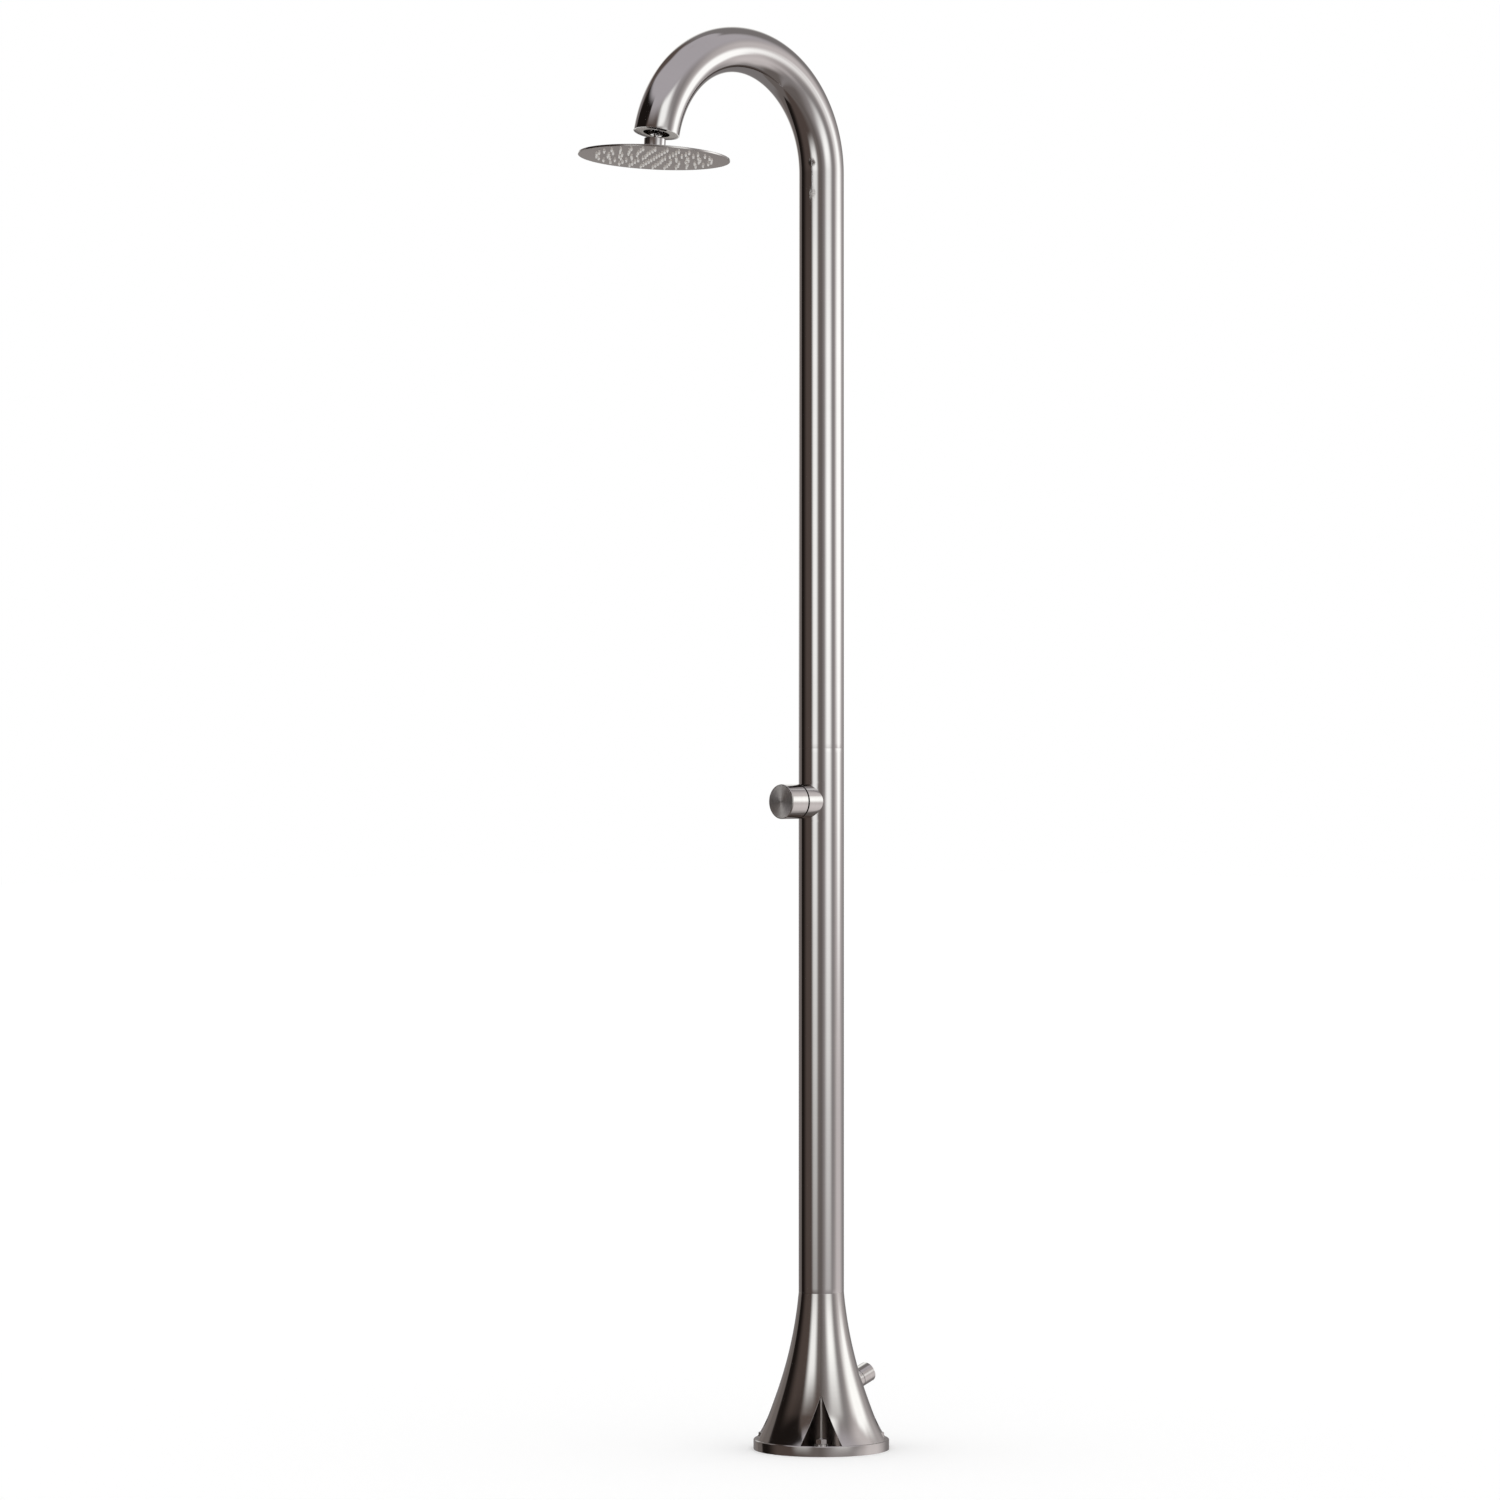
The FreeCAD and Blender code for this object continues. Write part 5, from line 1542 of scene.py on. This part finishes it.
@dataclass
class Control(Assembly):
    """Mixer's boss on the column, the knob and its grub screw.

    Sizes are in millimetres, along the control's axis.
    """

    seat: Seat = Seat((0.0, 0.0, 1.0025), 90.0)
    column_radius: float = 35.0
    radius: float = 26.8
    boss_bore: float = 19.3
    boss_reach: float = 51.4
    knob_back: float = 54.2
    gap_edge: float = 0.4
    knob_front: float = 87.8
    edge: float = 1.8
    hollow: float = 22.0
    hollow_depth: float = 10.0
    stem_hole: float = 4.1
    socket_depth: float = 25.0
    screw: float = 4.0
    screw_socket: float = 2.0
    screw_length: float = 8.0
    screw_gap: float = 0.2
    columns: int = 144

    def build(self) -> None:
        """Makes the boss, the knob and the screw."""
        boss = self.add("mixer_boss", self.boss(), KNOB_STEEL, "post", "knob_steel", ["valve_boss"])
        # The boss's front face is painted shade: near black, for the shaded gap in front of the knob.
        finish_ends(boss, self.seat, GAP_SHADE_STEEL, [(self.boss_reach, 1)])
        knob = self.add("mixer_knob", self.knob(), KNOB_STEEL, "control", "knob_steel", ["control_knob"])
        finish_ends(knob, self.seat, KNOB_FACE_STEEL, [(self.knob_front, 1)])
        hollow_end = self.knob_back + self.hollow_depth
        # The knob's back face and the floor of its hollow are painted shade: near black, for the shaded gap
        # and hollow.
        finish_ends(knob, self.seat, GAP_SHADE_STEEL, [(self.knob_back, -1), (hollow_end, -1)])
        start = self.stem_hole + self.screw_gap
        seat = Seat((0, -self.screw_place * MM, self.seat.origin[2]), 180)
        screw = socket_screw(self.screw, start, start + self.screw_length, self.screw_socket, seat)
        self.add("knob_screw", [screw], FASTENER_STEEL, "control", "fastener_steel", ["knob_grub_screw"])

    @property
    def screw_place(self) -> float:
        """Distance of the grub screw along the axis: the middle of the stem's socket."""
        return self.knob_back + (self.hollow_depth + self.socket_depth) / 2

    def boss(self) -> list[Sheet]:
        """Sleeve cut to sit on the column: its rim there is at sqrt(R^2 - (r cos a)^2).

        Returns:
            The closed sheets.
        """
        front, edge, inner_edge = self.boss_reach, self.gap_edge, 0.3
        angle = np.linspace(0, TURN, self.columns + 1)
        share = np.linspace(0, 1, 13)[:, None]
        walls = []
        for radius, end in ((self.radius, front - edge), (self.boss_bore, front - inner_edge)):
            start = np.sqrt(self.column_radius ** 2 - (radius * np.cos(angle)) ** 2)
            place = (start + (end - start) * share) * MM
            walls.append(Wall(self.seat, constant(radius * MM)).sheet(angle + np.zeros_like(place), place))
        rim = rounded([(self.radius, front - edge), (self.radius, front, edge * 0.9),
                       (self.boss_bore, front, 0.25), (self.boss_bore, front - inner_edge)], closed=False)
        return [*walls, turned(rim, self.seat, self.columns), ruled(walls[0].points[0], walls[1].points[0])]

    def knob(self) -> list[Sheet]:
        """Turned cap, hollow behind, drilled below for its screw.

        Returns:
            The closed sheets.
        """
        back, hollow_end = self.knob_back, self.knob_back + self.hollow_depth
        socket_end = self.knob_back + self.socket_depth
        inside = rounded([(self.radius, back + self.gap_edge), (self.radius, back, self.gap_edge * 0.9),
                          (self.hollow, back, 0.3), (self.hollow, hollow_end), (self.stem_hole, hollow_end),
                          (self.stem_hole, socket_end), (0, socket_end)], closed=False)
        drill = Drill((0, 0, self.screw_place * MM), (0, -1, 0), (self.screw + self.screw_gap) / 2 * MM,
                      self.stem_hole * 1.2 * MM)
        return knob_sheets(self.seat, self.radius, (back + self.gap_edge, self.knob_front), self.edge, inside,
                           drill, self.columns)


@dataclass
class FootTap(Assembly):
    """Tap in the flare: boss with its chrome outlet, knob and grub screw.

    Sizes are in millimetres, along the tap's axis.
    """

    seat: Seat = Seat((0.0, 0.0, 0.0742), -70.0)
    radius: float = 15.75
    bore: float = 12.2
    boss_start: float = 60.0
    boss_end: float = 85.0
    gap: float = 0.6
    end: float = 109.6
    edge: float = 0.8
    spindle_hole: float = 3.1
    knob_front: float = 5.0
    outlet_place: float = 80.0
    outlet: float = 4.0
    outlet_wall: float = 1.2
    outlet_gap: float = 0.1
    screw: float = 4.0
    screw_socket: float = 2.0
    screw_length: float = 8.0
    screw_gap: float = 0.2
    columns: int = 96

    def build(self) -> None:
        """Makes the boss, the knob, the outlet and the screw."""
        back = self.boss_end + self.gap
        screw_place = (back + self.end) / 2
        self.add("tap_boss", self.sleeve(), KNOB_STEEL, "post", "knob_steel", ["foot_tap_boss"])
        self.add("tap_knob", self.cap(back, screw_place), KNOB_STEEL,
                 "foot_tap", "knob_steel", ["foot_tap_knob"])
        hole, low, high = self.outlet - self.outlet_wall, self.bore + 0.3, self.radius - 0.15
        insert = rounded([(hole, low), (self.outlet, low), (self.outlet, high, 0.2), (hole, high, 0.3)])
        self.add("outlet_ring", [turned(insert, self.across(self.outlet_place), 48)], CHROME,
                 "post", "chrome", ["foot_outlet_insert"])
        start = self.spindle_hole + self.screw_gap
        screw = socket_screw(self.screw, start, start + self.screw_length, self.screw_socket,
                             self.across(screw_place))
        self.add("tap_screw", [screw], FASTENER_STEEL, "foot_tap", "fastener_steel", ["foot_knob_screw"])

    def across(self, place: float) -> Seat:
        """Seat whose axis leaves the tap's axis downwards, square to it."""
        centre = self.seat.carry(np.array([[0, 0, place * MM]]))[0]
        return Seat(tuple(centre), self.seat.lean - 90)

    def sleeve(self) -> list[Sheet]:
        """Boss: a tube along the tap's axis with the outlet's hole in its underside.

        Returns:
            The closed sheets.
        """
        start, end, bore, edge, window = self.boss_start, self.boss_end, self.bore, 0.3, 9.0
        rows = stations(start + edge, (self.outlet_place - window, 2), (end - edge, 0.6))
        drill = Drill((0, 0, self.outlet_place * MM), (0, 1, 0), (self.outlet + self.outlet_gap) * MM)
        rims = (tube_end(bore, self.radius, rim, way * edge, 0.25) for rim, way in ((start, 1), (end, -1)))
        return [*drilled_tube(self.seat, [self.radius, bore], rows, self.columns, [drill], 1.12),
                *(turned(rim, self.seat, self.columns) for rim in rims)]

    def cap(self, back: float, screw_place: float) -> list[Sheet]:
        """Knob with a blind hole for the spindle, drilled below for its screw.

        Args:
            back: Distance of its back along the tap's axis.
            screw_place: Distance of its grub screw.

        Returns:
            The closed sheets.
        """
        hole_end = self.end - self.knob_front
        inside = rounded([(self.radius, back + self.edge), (self.radius, back, 0.3),
                          (self.spindle_hole, back, 0.2), (self.spindle_hole, hole_end), (0, hole_end)],
                         closed=False)
        drill = Drill((0, 0, screw_place * MM), (0, 1, 0), (self.screw + self.screw_gap) / 2 * MM,
                      self.spindle_hole * 1.2 * MM)
        return knob_sheets(self.seat, self.radius, (back + self.edge, self.end), self.edge, inside,
                           drill, self.columns)


@dataclass
class InnerParts:
    """Finishes of the parts that stay as the frame has them, mostly inside the column."""

    finishes: dict[str, Finish] = field(default_factory=lambda: {
        "brass": BRASS, "braided_hose": HOSE_BRAID, "chrome": CHROME, "column_steel": PIPE_STEEL,
        "fastener_steel": FASTENER_STEEL, "foot_steel": PIPE_STEEL, "head_steel": HEAD_STEEL,
        "knob_steel": KNOB_STEEL, "liner_plastic": LINER_PLASTIC, "pipe_steel": PIPE_STEEL,
        "silicone": SILICONE})

    def dress(self, nodes: dict[str, bpy.types.Object], record: dict) -> None:
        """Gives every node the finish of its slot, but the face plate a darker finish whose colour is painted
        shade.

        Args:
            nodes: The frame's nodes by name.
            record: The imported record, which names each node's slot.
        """
        for part in record["subparts"]:
            mesh = nodes[part["node"]].data
            mesh.materials.clear()
            # The face plate gets the darker finish, whose colour is painted shade.
            finish = SHADED_FACE_STEEL if part["node"] == "face_plate" else self.finishes[part["material_slot"]]
            mesh.materials.append(finish.material(Grain.OBJECT))
        LOG.info("%d parts of the frame dressed", len(record["subparts"]))


# ------------------------------------------------------------------ studio
@dataclass(frozen=True)
class Panel:
    """Part of the studio that the metal mirrors.

    Azimuth is counted from the camera's side, positive to the image's right, and
    elevation from the horizon, all in degrees.

    Attributes:
        left: Azimuth of the left edge.
        right: Azimuth of the right edge.
        low: Elevation of the lower edge.
        high: Elevation of the upper edge.
        light: Light that it sends, linear; 1 is white.
        side_blur: Width of the left and right edges' gradients.
        end_blur: Width of the lower and upper edges' gradients.
    """

    left: float
    right: float
    low: float
    high: float
    light: Color
    side_blur: float
    end_blur: float

    def share(self, azimuth: Array, elevation: Array) -> Array:
        """How much of the panel shows in each direction, from 0 to 1.

        Args:
            azimuth: Azimuths, in degrees.
            elevation: Elevations, in degrees.

        Returns:
            The panel's share at each of them.
        """
        middle, half = (self.left + self.right) / 2, (self.right - self.left) / 2
        aside = np.abs((azimuth - middle + 180) % 360 - 180)
        side = smooth((half - aside) / self.side_blur + 0.5)
        below = smooth((elevation - self.low) / self.end_blur + 0.5)
        above = smooth((self.high - elevation) / self.end_blur + 0.5)
        return side * below * above


def smooth(share: Array) -> Array:
    """Smooth step from 0 to 1: 3 t^2 - 2 t^3 of the clipped share."""
    share = np.clip(share, 0, 1)
    return share * share * (3 - 2 * share)


def grey(level: float, tint: Color) -> Color:
    """A tinted grey."""
    return (level * tint[0], level * tint[1], level * tint[2])


BROWN = (1.12, 0.97, 0.91)
MAUVE = (1.03, 0.965, 1.01)
DARK = (1.25, 0.94, 0.82)
WARM = (1.06, 0.98, 0.97)
WHITE = (1.01, 1.01, 0.99)


@dataclass
class Studio:
    """Camera, plain pale floor, soft light, and the walls that only metal mirrors."""

    focal: float = 133.4
    distance: float = 8.6083
    azimuth: float = 45.81
    aside: float = 0.1104
    height: float = 1.0819
    dome_radius: float = 5.0
    floor_size: float = 60.0
    floor_lift: float = 0.07
    walls: Color = grey(0.160, BROWN)
    panels: tuple[Panel, ...] = (
        Panel(-200, 200, 37, 100, grey(0.47, MAUVE), 5, 32),
        Panel(-200, 200, -100, -14, grey(0.14, BROWN), 5, 8),
        Panel(115, 215, -56, 72, grey(0.212, WARM), 22, 4),
        Panel(168, 212, 4, 46, grey(1.1, WHITE), 27, 20),
        Panel(-120, -49, -60, 50, grey(0.01, DARK), 4, 8),
        Panel(-91, -23, -87, 19, grey(0.073, DARK), 30, 18),
        Panel(-46, -20, -11, 30, grey(1.14, WHITE), 17, 33),
        Panel(-5, 9, -90, 45, grey(0.13, BROWN), 3, 6),
        Panel(10, 65, -32, 29, grey(0.333, WARM), 30, 40),
        Panel(22, 56, -9, 21, grey(1.28, WHITE), 20, 31),
        Panel(1, 37, 28, 45, grey(1.15, WHITE), 25, 7),
        Panel(51, 70, -90, 32, grey(0.262, WARM), 25, 4),
        Panel(75, 121, -45, 41, grey(0.615, WARM), 30, 20),
        Panel(81, 120, 0, 17, grey(1.36, WHITE), 26, 14),
        Panel(124, 142, -9, 23, grey(0.49, WARM), 29, 40),
        Panel(-54, -3, 19, 40, grey(0.085, DARK), 14, 14),
        Panel(59, 135, -24, -21, grey(0.756, WARM), 22, 22),
        Panel(-148, -138, -28, 18, grey(0.198, BROWN), 3, 7),
        Panel(-156, -116, 37, 67, grey(0.087, DARK), 19, 10),
        Panel(90, 108, -5, 22, grey(1.31, WHITE), 9, 10),
    )

    def build(self) -> None:
        """Makes the camera, the world, the floor and the dome."""
        bpy.context.scene.view_settings.view_transform = "Standard"
        toward = np.array([math.sin(math.radians(self.azimuth)), -math.cos(math.radians(self.azimuth)), 0.0])
        right = np.array([-toward[1], toward[0], 0.0])
        self.make_camera(toward * self.distance - right * self.aside + [0, 0, self.height])
        self.make_world()
        self.make_floor()
        self.make_dome(math.degrees(math.atan2(toward[1], toward[0])))

    def make_camera(self, place: Array) -> None:
        """Level camera that looks along the photograph's direction.

        Args:
            place: Where the camera stands, in metres.
        """
        data = bpy.data.cameras.new("camera")
        data.lens = self.focal
        data.sensor_width = 36.0
        data.clip_end = 200.0
        camera = bpy.data.objects.new("camera", data)
        camera.location = place
        camera.rotation_euler = (math.radians(90), 0, math.radians(self.azimuth))
        bpy.context.scene.collection.objects.link(camera)
        bpy.context.scene.camera = camera

    def make_world(self) -> None:
        """White surroundings for the eye and for matt surfaces."""
        world = bpy.data.worlds.new("studio")
        world.use_nodes = True
        background = world.node_tree.nodes["Background"]
        background.inputs["Color"].default_value = (1, 1, 1, 1)
        background.inputs["Strength"].default_value = 1.0
        world.cycles_visibility.glossy = False
        bpy.context.scene.world = world

    def make_floor(self) -> None:
        """Pale floor. What it lacks of white it sends to the eye itself, so shadows stay."""
        half = self.floor_size / 2
        grid = np.array([[[-half, -half, 0], [half, -half, 0]], [[-half, half, 0], [half, half, 0]]])
        floor = make_mesh("studio_floor", [flat_sheet(grid)])
        floor.visible_glossy = False
        made = bpy.data.materials.new("floor_paint")
        made.use_nodes = True
        nodes, link = made.node_tree.nodes, made.node_tree.links.new
        shader = nodes["Principled BSDF"]
        shader.inputs["Base Color"].default_value = (0.94, 0.94, 0.94, 1)
        shader.inputs["Roughness"].default_value = 0.9
        shader.inputs["Specular IOR Level"].default_value = 0.0
        shader.inputs["Emission Color"].default_value = (1, 1, 1, 1)
        path, lift = node(nodes, "LightPath"), node(nodes, "Math", Value=self.floor_lift)
        lift.operation = "MULTIPLY"
        link(path.outputs["Is Camera Ray"], lift.inputs[1])
        link(lift.outputs[0], shader.inputs["Emission Strength"])
        floor.data.materials.append(made)

    def make_dome(self, camera_side: float) -> None:
        """Dome round the post whose light only metal mirrors.

        A point of the dome at azimuth a and elevation e lies at radius R times
        (cos e cos a, cos e sin a, sin e), and its colour blends the panels there.

        Args:
            camera_side: Direction from the post to the camera, in degrees from +X.
        """
        azimuth, elevation = np.meshgrid(np.linspace(-180, 180, 361), np.linspace(-90, 90, 181))
        up, aside = np.radians(elevation), np.radians(azimuth + camera_side)
        ways = np.stack([np.cos(up) * np.cos(aside), np.cos(up) * np.sin(aside), np.sin(up)], -1)
        points = self.dome_radius * ways + [0, 0, self.height]
        light = np.array(self.walls) + np.zeros(elevation.shape + (3,))
        for panel in self.panels:
            light += (np.array(panel.light) - light) * panel.share(azimuth, elevation)[..., None]
        dome = make_mesh("studio_dome", [Sheet(points, points[..., :2] * 0, light)])
        dome.visible_camera = dome.visible_diffuse = dome.visible_shadow = dome.visible_transmission = False
        made = bpy.data.materials.new("studio_light")
        made.use_nodes = True
        nodes, link = made.node_tree.nodes, made.node_tree.links.new
        nodes.remove(nodes["Principled BSDF"])
        glow, place = node(nodes, "Emission"), node(nodes, "Attribute")
        place.attribute_name = "grain"
        link(place.outputs["Vector"], glow.inputs["Color"])
        link(glow.outputs[0], nodes["Material Output"].inputs["Surface"])
        made.cycles.emission_sampling = "NONE"
        dome.data.materials.append(made)


def main() -> None:
    """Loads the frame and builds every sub-assembly."""
    logging.basicConfig(level=logging.INFO, format="%(message)s")
    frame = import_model()
    InnerParts().dress(frame["nodes"], frame["record"])
    for assembly in (Foot(), Column(), Mouth(), ShowerHead(), Control(), FootTap(), Studio()):
        assembly.build()


if __name__ == "__main__":
    main()
